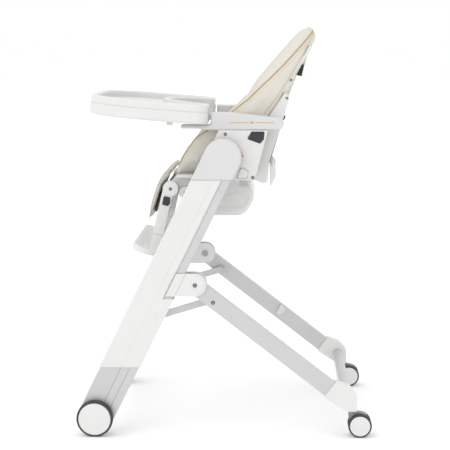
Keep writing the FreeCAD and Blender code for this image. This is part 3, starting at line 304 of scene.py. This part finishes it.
def resampled(path, step):
    """Points at even steps along a smooth curve through the given points."""
    dense = []
    for i in range(len(path) - 1):
        p0, p1 = path[max(i - 1, 0)], path[i]
        p2, p3 = path[i + 1], path[min(i + 2, len(path) - 1)]
        for k in range(12):
            t = k / 12
            dense.append(0.5 * (2 * p1 + (p2 - p0) * t + (2 * p0 - 5 * p1 + 4 * p2 - p3) * t * t
                                + (3 * p1 - p0 - 3 * p2 + p3) * t ** 3))
    dense.append(path[-1])
    length = sum((dense[i + 1] - dense[i]).length for i in range(len(dense) - 1))
    count = max(2, round(length / step))
    wanted = [length * k / count for k in range(count + 1)]
    result, walked, i = [], 0.0, 0
    for goal in wanted:
        while i < len(dense) - 2 and walked + (dense[i + 1] - dense[i]).length < goal:
            walked += (dense[i + 1] - dense[i]).length
            i += 1
        piece = (dense[i + 1] - dense[i]).length
        share = min(1.0, (goal - walked) / piece) if piece else 0.0
        result.append(dense[i].lerp(dense[i + 1], share))
    return result


def surface_tree(obj):
    """A search tree of the mesh's surface."""
    return BVHTree.FromPolygons([v.co for v in obj.data.vertices],
                                [list(p.vertices) for p in obj.data.polygons])


def laid_on(path, tree, lift):
    """The path moved onto the nearest surface and raised from it."""
    result = []
    for point in path:
        place, normal, _, _ = tree.find_nearest(point)
        result.append(place + normal * lift)
    return result


def apply_modifiers(obj):
    """Replaces the object's mesh with what its modifiers make of it."""
    graph = bpy.context.evaluated_depsgraph_get()
    made = bpy.data.meshes.new_from_object(obj.evaluated_get(graph))
    obj.modifiers.clear()
    obj.data = made
    made.polygons.foreach_set("use_smooth", [True] * len(made.polygons))


def puffed(obj, voxel, cap, pressure=4.0):
    """Remeshes a pad, fills it with pressure as cloth, and keeps each point within a cap."""
    remesh = obj.modifiers.new("remesh", "REMESH")
    remesh.mode = "VOXEL"
    remesh.voxel_size = voxel
    apply_modifiers(obj)
    rest = [v.co.copy() for v in obj.data.vertices]
    cloth = obj.modifiers.new("cloth", "CLOTH")
    cloth.settings.use_pressure = True
    cloth.settings.uniform_pressure_force = pressure
    cloth.settings.quality = 4
    cloth.settings.tension_stiffness = 30
    cloth.settings.effector_weights.gravity = 0
    cloth.point_cache.frame_start = 1
    cloth.point_cache.frame_end = 20
    scene = bpy.context.scene
    for number in range(1, 21):
        scene.frame_set(number)
    apply_modifiers(obj)
    scene.frame_set(1)
    for vertex, start in zip(obj.data.vertices, rest):
        move = vertex.co - start
        if move.length > cap:
            vertex.co = start + move * (cap / move.length)
    smooth = obj.modifiers.new("smooth", "SMOOTH")
    smooth.factor = 0.5
    smooth.iterations = 3
    subdivide = obj.modifiers.new("subdivide", "SUBSURF")
    subdivide.levels = 1
    apply_modifiers(obj)


# ---------------------------------------------------------------- upholstery
COVER_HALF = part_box("backrest_pad")[1].x - 1 * MM
PAD_THICK = 24 * MM
WING_THICK = 17 * MM
# Stations along the cover, from the seat's front edge to the top of the back. Each gives the
# outer surface's line and the piping's line, as Y and Z in millimetres from the recline hinge,
# the half width as a share of the cover's, and how far the padded wing rolls past its piping.
COVER_STATIONS = [
    ((-204, 6), (-199, 30), 1.00, 0), ((-190, 3), (-188, 52), 1.00, 0),
    ((-168, 3), (-173, 77), 1.00, 0), ((-131, 4), (-151, 104), 1.00, 0),
    ((-90, 4), (-118, 126), 1.00, 0), ((-52, 4), (-86, 146), 1.00, 1),
    ((-24, 12), (-66, 162), 1.00, 3), ((-6, 46), (-42, 180), 1.00, 6),
    ((16, 100), (-16, 198), 1.00, 11), ((38, 151), (11, 222), 0.99, 20),
    ((62, 188), (40, 249), 0.97, 25), ((88, 230), (71, 279), 0.92, 29),
    ((113, 275), (101, 311), 0.85, 31), ((134, 312), (126, 339), 0.77, 31),
    ((150, 342), (145, 361), 0.69, 27), ((160, 362), (154, 373), 0.60, 18),
    ((160, 374), (150, 379), 0.46, 7),
]


def station_point(station, x, height):
    """A point of a station's section: across the chair, and up from its outer surface."""
    (outer_y, outer_z), (edge_y, edge_z) = station[:2]
    outer = RECLINE + Vector((0, outer_y, outer_z)) * MM
    edge = RECLINE + Vector((0, edge_y, edge_z)) * MM
    upward = (edge - outer).normalized()
    return Vector((x, 0, 0)) + outer + upward * height


def wing_height(station):
    """How far a station's piping stands above its outer surface."""
    (outer_y, outer_z), (edge_y, edge_z) = station[:2]
    return math.hypot(edge_y - outer_y, edge_z - outer_z) * MM


def arc_points(centre, radius, start, end, count):
    """Points on an arc in a section's plane, between two angles in degrees."""
    points = []
    for k in range(count):
        angle = math.radians(start + (end - start) * k / (count - 1))
        points.append((centre[0] + radius * math.cos(angle), centre[1] + radius * math.sin(angle)))
    return points


def cover_section(station):
    """A closed U-shaped section: outer surface, wing edges, and inner surface."""
    half = COVER_HALF * station[2]
    high = max(wing_height(station), PAD_THICK * 0.55)
    thick = min(PAD_THICK, high * 0.92)
    outer_corner = min(34 * MM, high * 0.45)
    roll = station[3] * MM
    edge = min(WING_THICK / 2, high * 0.4) + roll * 0.45
    rise = min(WING_THICK / 2, high * 0.4)
    inner_corner = min(26 * MM, max(high + roll - thick, 1 * MM) * 0.7)
    right = [(0.0, 0.0), (half * 0.35, 0.0), (half * 0.65, 0.0)]
    right += arc_points((half - outer_corner, outer_corner), outer_corner, -90, 0, 6)
    right += [(half - edge + edge * math.cos(math.radians(a)),
               high - rise + (rise + roll) * math.sin(math.radians(a))) for a in range(0, 181, 20)]
    foot = half - 2 * edge - inner_corner
    right += [(foot + inner_corner + (x - foot - inner_corner), z) for x, z in
              arc_points((foot, thick + inner_corner), inner_corner, 0, -90, 5)]
    right += [(half * 0.5, thick), (half * 0.25, thick), (0.0, thick)]
    left = [(-x, z) for x, z in right[-2:0:-1]]
    return [station_point(station, x, z) for x, z in right + left]


def between(first, second, share):
    """A station part of the way between two stations."""
    points = [tuple(a + (b - a) * share for a, b in zip(first[k], second[k])) for k in (0, 1)]
    return tuple(points) + tuple(first[k] + (second[k] - first[k]) * share for k in (2, 3))


def smooth_stations():
    """The cover's stations with one more between each two, on a smooth curve."""
    result = []
    for i in range(len(COVER_STATIONS) - 1):
        result.append(COVER_STATIONS[i])
        result.append(between(COVER_STATIONS[i], COVER_STATIONS[i + 1], 0.5))
    result.append(COVER_STATIONS[-1])
    return result


def seat_cover():
    """The one-piece padded cover of the seat and the back, with its piping and seams."""
    stations = smooth_stations()
    cover = loft("seat_cover", [cover_section(s) for s in stations], MATERIALS["leatherette"])
    puffed(cover, voxel=6 * MM, cap=7 * MM)
    tree = surface_tree(cover)
    press_channels(cover)
    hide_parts("seat_pad", "backrest_pad")
    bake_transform(cover)
    edge_path = []
    for side in (1, -1):
        ordered = stations if side == 1 else stations[::-1]
        for station in ordered:
            inset = 3 * MM
            high = wing_height(station)
            x = side * (COVER_HALF * station[2] - inset)
            edge_path.append(station_point(station, x, high - 2 * MM))
    count = len(stations)
    for side, path in ((1, edge_path[:count]), (-1, edge_path[count:])):
        name = "right" if side == 1 else "left"
        smooth = resampled(path, 6 * MM)
        piping = tube("piping_" + name, laid_on(smooth, tree, 0.4 * MM), 1.6 * MM, PIPING_MATERIAL)
        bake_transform(piping)
        low_line = [station_point(s, side * (COVER_HALF * s[2] - 1 * MM), 7 * MM) for s in stations[10:]]
        seam = tube("lower_seam_" + name, laid_on(resampled(low_line, 6 * MM), tree, 0.1 * MM),
                    1.1 * MM, SEAM_MATERIAL)
        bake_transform(seam)
        thread_path = [point + Vector((side * 4, 0, 0)) * MM - station_up(point) * 8 * MM
                       for point in smooth]
        thread = stitches("piping_stitches_" + name, laid_on(thread_path, tree, 0.2 * MM))
        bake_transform(thread)
    return tree


def station_up(point):
    """Roughly the wing's upward direction near a point."""
    lean = 0.62 if point.z > ARM_HIGH.z else 0.3
    return Vector((0, -lean, 1)).normalized()


CHANNEL_DEPTH = 3.5 * MM
CHANNEL_WIDTH = 5 * MM
PANEL_HALF = 82 * MM
CHANNEL_ROWS = (110 * MM, 185 * MM, 260 * MM)


def press_channels(cover):
    """Presses the sewn channels of the seat and back into the cover's inner surface."""
    for vertex in cover.data.vertices:
        place = vertex.co
        if abs(vertex.normal.x) > 0.75 or abs(place.x) > PANEL_HALF + 4 * CHANNEL_WIDTH:
            continue
        facing = vertex.normal.z > 0.2 or vertex.normal.y < -0.35
        if not facing:
            continue
        depth = math.exp(-((abs(place.x) - PANEL_HALF) / CHANNEL_WIDTH) ** 2)
        if abs(place.x) < PANEL_HALF:
            up_back = (place - RECLINE).dot(Vector((0, 0.45, 0.89)))
            for row in CHANNEL_ROWS:
                depth = max(depth, math.exp(-((up_back - row) / CHANNEL_WIDTH) ** 2))
        vertex.co = place - vertex.normal * CHANNEL_DEPTH * depth
    cover.data.update()


def stitches(name, path, length=4 * MM, gap=2.4 * MM, radius=0.45 * MM):
    """A row of short raised threads along a path."""
    even = resampled(path, 0.8 * MM)
    step = round((length + gap) / (0.8 * MM))
    dash = round(length / (0.8 * MM))
    verts, faces = [], []
    for start in range(0, len(even) - dash, step):
        part = even[start:start + dash + 1]
        first, last = part[0], part[-1]
        along = (last - first).normalized()
        side = along.cross(Vector((0.31, 0.52, 0.79))).normalized()
        up = along.cross(side)
        base = len(verts)
        for share, size in ((0, 0.4), (0.25, 1), (0.75, 1), (1, 0.4)):
            middle = first.lerp(last, share)
            for k in range(5):
                angle = 2 * math.pi * k / 5
                verts.append(middle + radius * size * (side * math.cos(angle) + up * math.sin(angle)))
        for r in range(3):
            for k in range(5):
                n = (k + 1) % 5
                faces.append((base + r * 5 + k, base + r * 5 + n, base + r * 5 + 5 + n,
                              base + r * 5 + 5 + k))
        faces.append(tuple(base + k for k in range(5)))
        faces.append(tuple(base + 15 + k for k in range(5)))
    return mesh_object(name, verts, faces, THREAD_MATERIAL)


FLAP_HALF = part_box("calf_flap")[1].x
# The flap's front surface in the side view, as Y and Z in millimetres from the leg rest's hinge.
FLAP_LINE = [(4, 47), (-6, 43), (-18, 34), (-28, 22), (-39, 0), (-50, -32), (-58, -62), (-62, -88)]


def calf_flap_cover():
    """The padded calf flap: a crowned pad that bends from the seat's front edge down the board."""
    path = resampled([LEG_REST_HINGE + Vector((0, y, z)) * MM for y, z in FLAP_LINE], 7 * MM)
    rings = []
    for i, point in enumerate(path):
        along = (path[min(i + 1, len(path) - 1)] - path[max(i - 1, 0)]).normalized()
        inward = Vector((0, -along.z, along.y))
        if inward.y < 0:
            inward = -inward
        share = i / (len(path) - 1)
        end = min(1.0, 0.35 + 5 * min(share, 1 - share))
        half = FLAP_HALF * (1 - 0.12 * max(0.0, share - 0.8) / 0.2)
        thick = 9 * MM * end
        ring = []
        for k in range(28):
            angle = 2 * math.pi * k / 28
            flat = abs(math.cos(angle)) ** 0.35 * math.copysign(1, math.cos(angle))
            swell = abs(math.sin(angle)) ** 0.7 * math.copysign(1, math.sin(angle))
            ring.append(point + Vector((half * flat, 0, 0)) + inward * thick * 0.5 * (1 + swell))
        rings.append(ring)
    flap = loft("calf_flap_cover", rings, MATERIALS["leatherette"])
    puffed(flap, voxel=4 * MM, cap=3 * MM)
    tree = surface_tree(flap)
    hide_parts("calf_flap")
    end = LEG_REST_HINGE + Vector((0, -34, 12)) * MM
    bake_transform(flap)
    for side, name in ((1, "right"), (-1, "left")):
        edge = [point + Vector((side * (FLAP_HALF - 6 * MM), 0, 0)) for point in path[1:-1]]
        piping = tube("flap_piping_" + name, laid_on(edge, tree, 0.3 * MM), 1.4 * MM, SEAM_MATERIAL)
        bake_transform(piping)


# ---------------------------------------------------------------- harness


def ribbon(name, path, width, thick, across, material):
    """A flat strap along a path, with its width along a fixed direction."""
    rings = []
    for i, point in enumerate(path):
        along = (path[min(i + 1, len(path) - 1)] - path[max(i - 1, 0)]).normalized()
        wide = (across - along * across.dot(along)).normalized()
        up = wide.cross(along).normalized()
        ring = []
        for x, z in ((-1, -1), (-0.5, -1), (0, -1), (0.5, -1), (1, -1), (1.04, 0),
                     (1, 1), (0.5, 1), (0, 1), (-0.5, 1), (-1, 1), (-1.04, 0)):
            ring.append(point + wide * x * width / 2 + up * z * thick / 2)
        rings.append(ring)
    return loft(name, rings, material)


def cast_onto(tree, points, direction, lift):
    """Drops points along a direction onto a surface, and raises them from it."""
    result = []
    for point in points:
        hit, _, _, _ = tree.ray_cast(point, direction)
        if hit is not None:
            result.append(hit - direction * lift)
    return result


# The line of the webbing tails behind the back posts, as Y and Z from the recline hinge.
STRAP_LINE = [(74, 146), (78, 155), (81, 149), (74, 139), (66, 114), (58, 88), (50, 62), (42, 36),
              (34, 14)]


SHOULDER_STRAP = (26 * MM, 2.2 * MM)
WAIST_STRAP = (25 * MM, 2.2 * MM)
CROTCH_STRAP = (32 * MM, 2.4 * MM)
STRAP_TAB = (25 * MM, 13 * MM)
BACK_STRAP = (22 * MM, 3.4 * MM)
BACK_STRAP_X = 146
STRAP_LIFT = 1.6 * MM


def harness(tree):
    """The five-point harness: shoulder, waist and crotch straps that lie on the cover."""
    webbing = MATERIALS["webbing"]
    lift = STRAP_LIFT
    back_normal = Vector((0, 0.86, -0.42)).normalized()
    x_axis = Vector((1, 0, 0))
    for side, name in ((1, "right"), (-1, "left")):
        start = RECLINE + Vector((0, -120, 330)) * MM
        end = RECLINE + Vector((0, -160, 110)) * MM
        line = [start.lerp(end, k / 24) + Vector((side * (46 - 8 * k / 24), 0, 0)) * MM
                for k in range(25)]
        path = cast_onto(tree, line, back_normal, lift)
        strap = ribbon("shoulder_strap_" + name, path, *SHOULDER_STRAP, x_axis, webbing)
        if side == 1:
            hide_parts("shoulder_straps")
        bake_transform(strap)
        line = [Vector((side * (26 + (COVER_HALF / MM - 60 - 26) * k / 16), -8 + 14 * k / 16, 0)) * MM
                + Vector((0, 0, ARM_LOW.z)) for k in range(17)]
        path = cast_onto(tree, line, Vector((0, 0, -1)), lift)
        waist = ribbon("waist_strap_" + name, path, *WAIST_STRAP, Vector((0, 1, 0)), webbing)
        if side == 1:
            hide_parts("waist_straps")
        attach(waist, "seat_carriage")
    line = [Vector((0, -14 - 84 * k / 14, 0)) * MM + Vector((0, 0, ARM_LOW.z)) for k in range(15)]
    path = cast_onto(tree, line, Vector((0, 0, -1)), lift)
    crotch = ribbon("crotch_strap_band", path, *CROTCH_STRAP, x_axis, webbing)
    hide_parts("crotch_strap")
    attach(crotch, "seat_carriage")
    tab_low, tab_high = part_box("strap_tab")
    middle = (tab_low + tab_high) / 2
    line = [Vector((middle.x, tab_high.y - 7 * MM - 6 * MM * k / 6, tab_high.z + 3 * MM
                    - (tab_high.z - tab_low.z + 3 * MM) * k / 6)) for k in range(7)]
    tab = ribbon("strap_tab_webbing", line, *STRAP_TAB, x_axis, MATERIALS["black_webbing"])
    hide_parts("strap_tab")
    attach(tab, "backrest")
    line = [RECLINE + Vector((0, y, z)) * MM for y, z in STRAP_LINE]
    for side, name in ((1, "right"), (-1, "left")):
        path = [point + Vector((side * BACK_STRAP_X, 0, 0)) * MM for point in resampled(line, 5 * MM)]
        tail = ribbon("back_strap_" + name, path, *BACK_STRAP, x_axis, MATERIALS["black_webbing"])
        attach(tail, "backrest")


# ---------------------------------------------------------------- small rigid details


def disc(name, centre, radius, thick, material, sides=32, hollow=0.0, bevel=0.25):
    """A flat round piece facing +X or -X, with a soft edge and a hexagonal socket if asked."""
    outward = math.copysign(1.0, centre.x)
    rings = [(radius, 0.0), (radius, 1 - bevel), (radius * (1 - 0.08), 1.0)]
    if hollow:
        rings += [(hollow * 1.25, 1.0), (hollow, 0.9), (hollow * 0.96, 0.35)]
    sections = []
    for size, depth in rings:
        ring = []
        for k in range(sides):
            angle = 2 * math.pi * k / sides
            reach = size
            if hollow and depth < 0.95 and size <= hollow:
                sector = (angle % (math.pi / 3)) - math.pi / 6
                reach = size * math.cos(math.pi / 6) / math.cos(sector)
            ring.append(centre + Vector((outward * thick * depth, reach * math.cos(angle),
                                         reach * math.sin(angle))))
        sections.append(ring)
    return loft(name, sections, material)


def screw(name, x, place, body, radius=4.2 * MM):
    """A socket-head screw on an outer face, on both sides of the chair, ringed by a black disc of painted shade.
    """
    heads = []
    for side, label in ((1, "right"), (-1, "left")):
        centre = Vector((side * x, place.y, place.z))
        # Painted shade: this flat black disc stands in for the shadow in the sunken gap around the head.
        ring = disc(f"{name}_painted_recess_shade_{label}", centre, radius, 0.7 * MM, MATERIALS["black_plastic"], 36)
        head = disc(f"{name}_{label}", centre, radius * 0.66, 1.3 * MM, MATERIALS["steel"], 36,
                    radius * 0.34)
        for part in (ring, head):
            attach(part, body)
        heads.append(head)
    return heads


def screws():
    """The screws on the side plates, hubs, back posts and bracket pivots."""
    hub_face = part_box("leg_rest_arms")[1].x
    screw("hub_screw", hub_face, LEG_REST_HINGE, "leg_rest")
    plate = screw("hinge_screw", SIDE_FACE, RECLINE, "seat_carriage")
    plate += screw("plate_screw", SIDE_FACE, RECLINE + Vector((0, -70, 110)) * MM, "seat_carriage")
    plate += screw("rear_hub_screw", hub_face - 2 * MM, RECLINE + Vector((0, -173, -43)) * MM,
                   "seat_carriage")
    for head in plate:
        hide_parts("seat_screws")
    post_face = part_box("back_posts")[1].x
    for number, (y, z) in enumerate(((96, 244), (86, 198))):
        screw(f"post_screw_{number}", post_face, RECLINE + Vector((0, y, z)) * MM, "backrest", 3.4 * MM)
    bolt_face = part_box("pivot_bolts")[1].x
    screw("bracket_screw", bolt_face, Vector(JOINTS["fold"]["pos_m"]), "fold_brackets", 5.2 * MM)
    rivet_low, rivet_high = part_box("strut_rivets")
    screw("rivet_screw", rivet_high.x, (rivet_low + rivet_high) / 2, "rear_frame", 4.6 * MM)


RULE_HALF = 57 * MM
RULE_THIN = 0.75 * MM
RULE_GAP = 9 * MM
DIAMOND = (6 * MM, 3.2 * MM)
FOIL = 0.25 * MM
ANGLE_DOT_RADIUS = 1.9 * MM
SNAP_RADIUS = 6.2 * MM


def armrest_mark():
    """A plain gold rule with a small diamond in its middle, on each armrest."""
    y_mid = (ARM_LOW.y + ARM_HIGH.y) / 2 + 50 * MM
    z_mid = (ARM_LOW.z + ARM_HIGH.z) / 2 - 3 * MM
    wide, tall = DIAMOND
    for side, label in ((1, "right"), (-1, "left")):
        face = side * (ARM_HIGH.x + 0.12 * MM)
        verts, faces = [], []
        for low, high in ((-RULE_HALF, -RULE_GAP), (RULE_GAP, RULE_HALF)):
            base = len(verts)
            for y, z in ((low, -RULE_THIN), (high, -RULE_THIN), (high, RULE_THIN), (low, RULE_THIN)):
                verts.append(Vector((face, y_mid + y, z_mid + z)))
                verts.append(Vector((face + side * FOIL, y_mid + y, z_mid + z)))
            faces += box_faces(base)
        base = len(verts)
        for y, z in ((-wide, 0), (0, -tall), (wide, 0), (0, tall)):
            verts.append(Vector((face, y_mid + y, z_mid + z)))
            verts.append(Vector((face + side * FOIL, y_mid + y, z_mid + z)))
        faces += box_faces(base)
        mark = mesh_object("armrest_mark_" + label, verts, faces, GOLD_MATERIAL)
        mark.data.polygons.foreach_set("use_smooth", [False] * len(mark.data.polygons))
        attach(mark, "seat_carriage")


def box_faces(base):
    """Faces of a four-sided slab whose corners were added in pairs, inner then outer."""
    inner = [base + 2 * k for k in range(4)]
    outer = [base + 2 * k + 1 for k in range(4)]
    sides = [(inner[k], inner[(k + 1) % 4], outer[(k + 1) % 4], outer[k]) for k in range(4)]
    return [tuple(inner), tuple(outer)] + sides


def angle_mark():
    """The thin red arc with a dot at each end, on the side plate behind the leg's cap."""
    ends = (RECLINE + Vector((0, -39, 81)) * MM, RECLINE + Vector((0, -26, 54)) * MM)
    for side, label in ((1, "right"), (-1, "left")):
        face = side * (SIDE_FACE + 0.3 * MM)
        bulge = Vector((0, 1.5, 0.8)) * MM
        points = []
        for k in range(13):
            share = k / 12
            point = ends[0].lerp(ends[1], share) + bulge * math.sin(math.pi * share)
            points.append(Vector((face, point.y, point.z)))
        arc = tube("angle_mark_" + label, points, 0.55 * MM, RED_MATERIAL)
        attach(arc, "seat_carriage")
        for number, point in enumerate((points[0], points[-1])):
            dot = disc(f"angle_dot_{number}_{label}", point, ANGLE_DOT_RADIUS, 0.5 * MM, RED_MATERIAL, 20)
            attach(dot, "seat_carriage")


def cover_snap():
    """The snap that fastens the cover to the seat, on each side."""
    for side, label in ((1, "right"), (-1, "left")):
        place = RECLINE + Vector((0, -144, 43)) * MM
        place.x = side * (COVER_HALF + 0.5 * MM)
        snap = disc("cover_snap_" + label, place, SNAP_RADIUS, 3 * MM, MATERIALS["white_plastic"],
                    32, 2.2 * MM)
        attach(snap, "seat_carriage")


# ---------------------------------------------------------------- stage, light, camera


FLOOR_HALF = 30.0
FLOOR_DROP = 0.3 * MM
FLOOR_GLOW = 0.10
SUN_ENERGY = 0.45
SUN_SPREAD = 50
FILL_ENERGY = 0.35
FILL_SPREAD = 60


def add_sun(name, energy, spread_degrees, direction):
    """A soft sun that shines along a direction."""
    light = bpy.data.lights.new(name, "SUN")
    light.energy = energy
    light.angle = math.radians(spread_degrees)
    lamp = bpy.data.objects.new(name, light)
    lamp.rotation_euler = direction.to_track_quat("-Z", "Y").to_euler()
    bpy.context.scene.collection.objects.link(lamp)


def studio():
    """A pale floor under an even white sky, and a soft sun from above the camera's left."""
    material, shader, place = start_material("studio_floor")
    two_tone(material, shader, noise(material, place, 0.4), (0.93, 0.93, 0.93), 0.99)
    shader.inputs["Roughness"].default_value = 0.9
    shader.inputs["Emission Color"].default_value = (1, 1, 1, 1)
    shader.inputs["Emission Strength"].default_value = FLOOR_GLOW
    size = FLOOR_HALF
    floor = mesh_object("studio_floor", [(-size, -size, 0), (size, -size, 0), (size, size, 0),
                                         (-size, size, 0)], [(0, 1, 2, 3)], material)
    floor.location.z = -FLOOR_DROP
    world = bpy.data.worlds.new("studio_sky")
    bpy.context.scene.world = world
    world.use_nodes = True
    sky = world.node_tree.nodes["Background"]
    sky.inputs["Color"].default_value = (1, 1, 1, 1)
    sky.inputs["Strength"].default_value = 1.0
    add_sun("soft_sun", SUN_ENERGY, SUN_SPREAD, Vector((-0.45, 0.5, -1.0)))
    add_sun("soft_fill", FILL_ENERGY, FILL_SPREAD, Vector((-1.0, 0.12, -0.25)))
    bpy.context.scene.view_settings.view_transform = "Standard"


CAMERA_PLACE = (3.7167, 0.1193, 1.0067)
CAMERA_YAW = math.radians(-1.95)
CAMERA_PITCH = math.radians(-7.65)
CAMERA_LENS = 110.7
SENSOR_WIDTH = 36.0


def camera():
    """The view of the chair's right side, from a little above and far away."""
    lens = bpy.data.cameras.new("side_view")
    lens.sensor_width = SENSOR_WIDTH
    lens.lens = CAMERA_LENS
    lens.dof.use_dof = False
    eye = bpy.data.objects.new("side_view", lens)
    eye.location = CAMERA_PLACE
    level = math.cos(CAMERA_PITCH)
    forward = Vector((-math.cos(CAMERA_YAW) * level, math.sin(CAMERA_YAW) * level,
                      math.sin(CAMERA_PITCH)))
    eye.rotation_euler = forward.to_track_quat("-Z", "Y").to_euler()
    bpy.context.scene.collection.objects.link(eye)
    bpy.context.scene.camera = eye


camera()
studio()
paint_cad_nodes()
cover_tree = seat_cover()
calf_flap_cover()
harness(cover_tree)
screws()
armrest_mark()
angle_mark()
cover_snap()
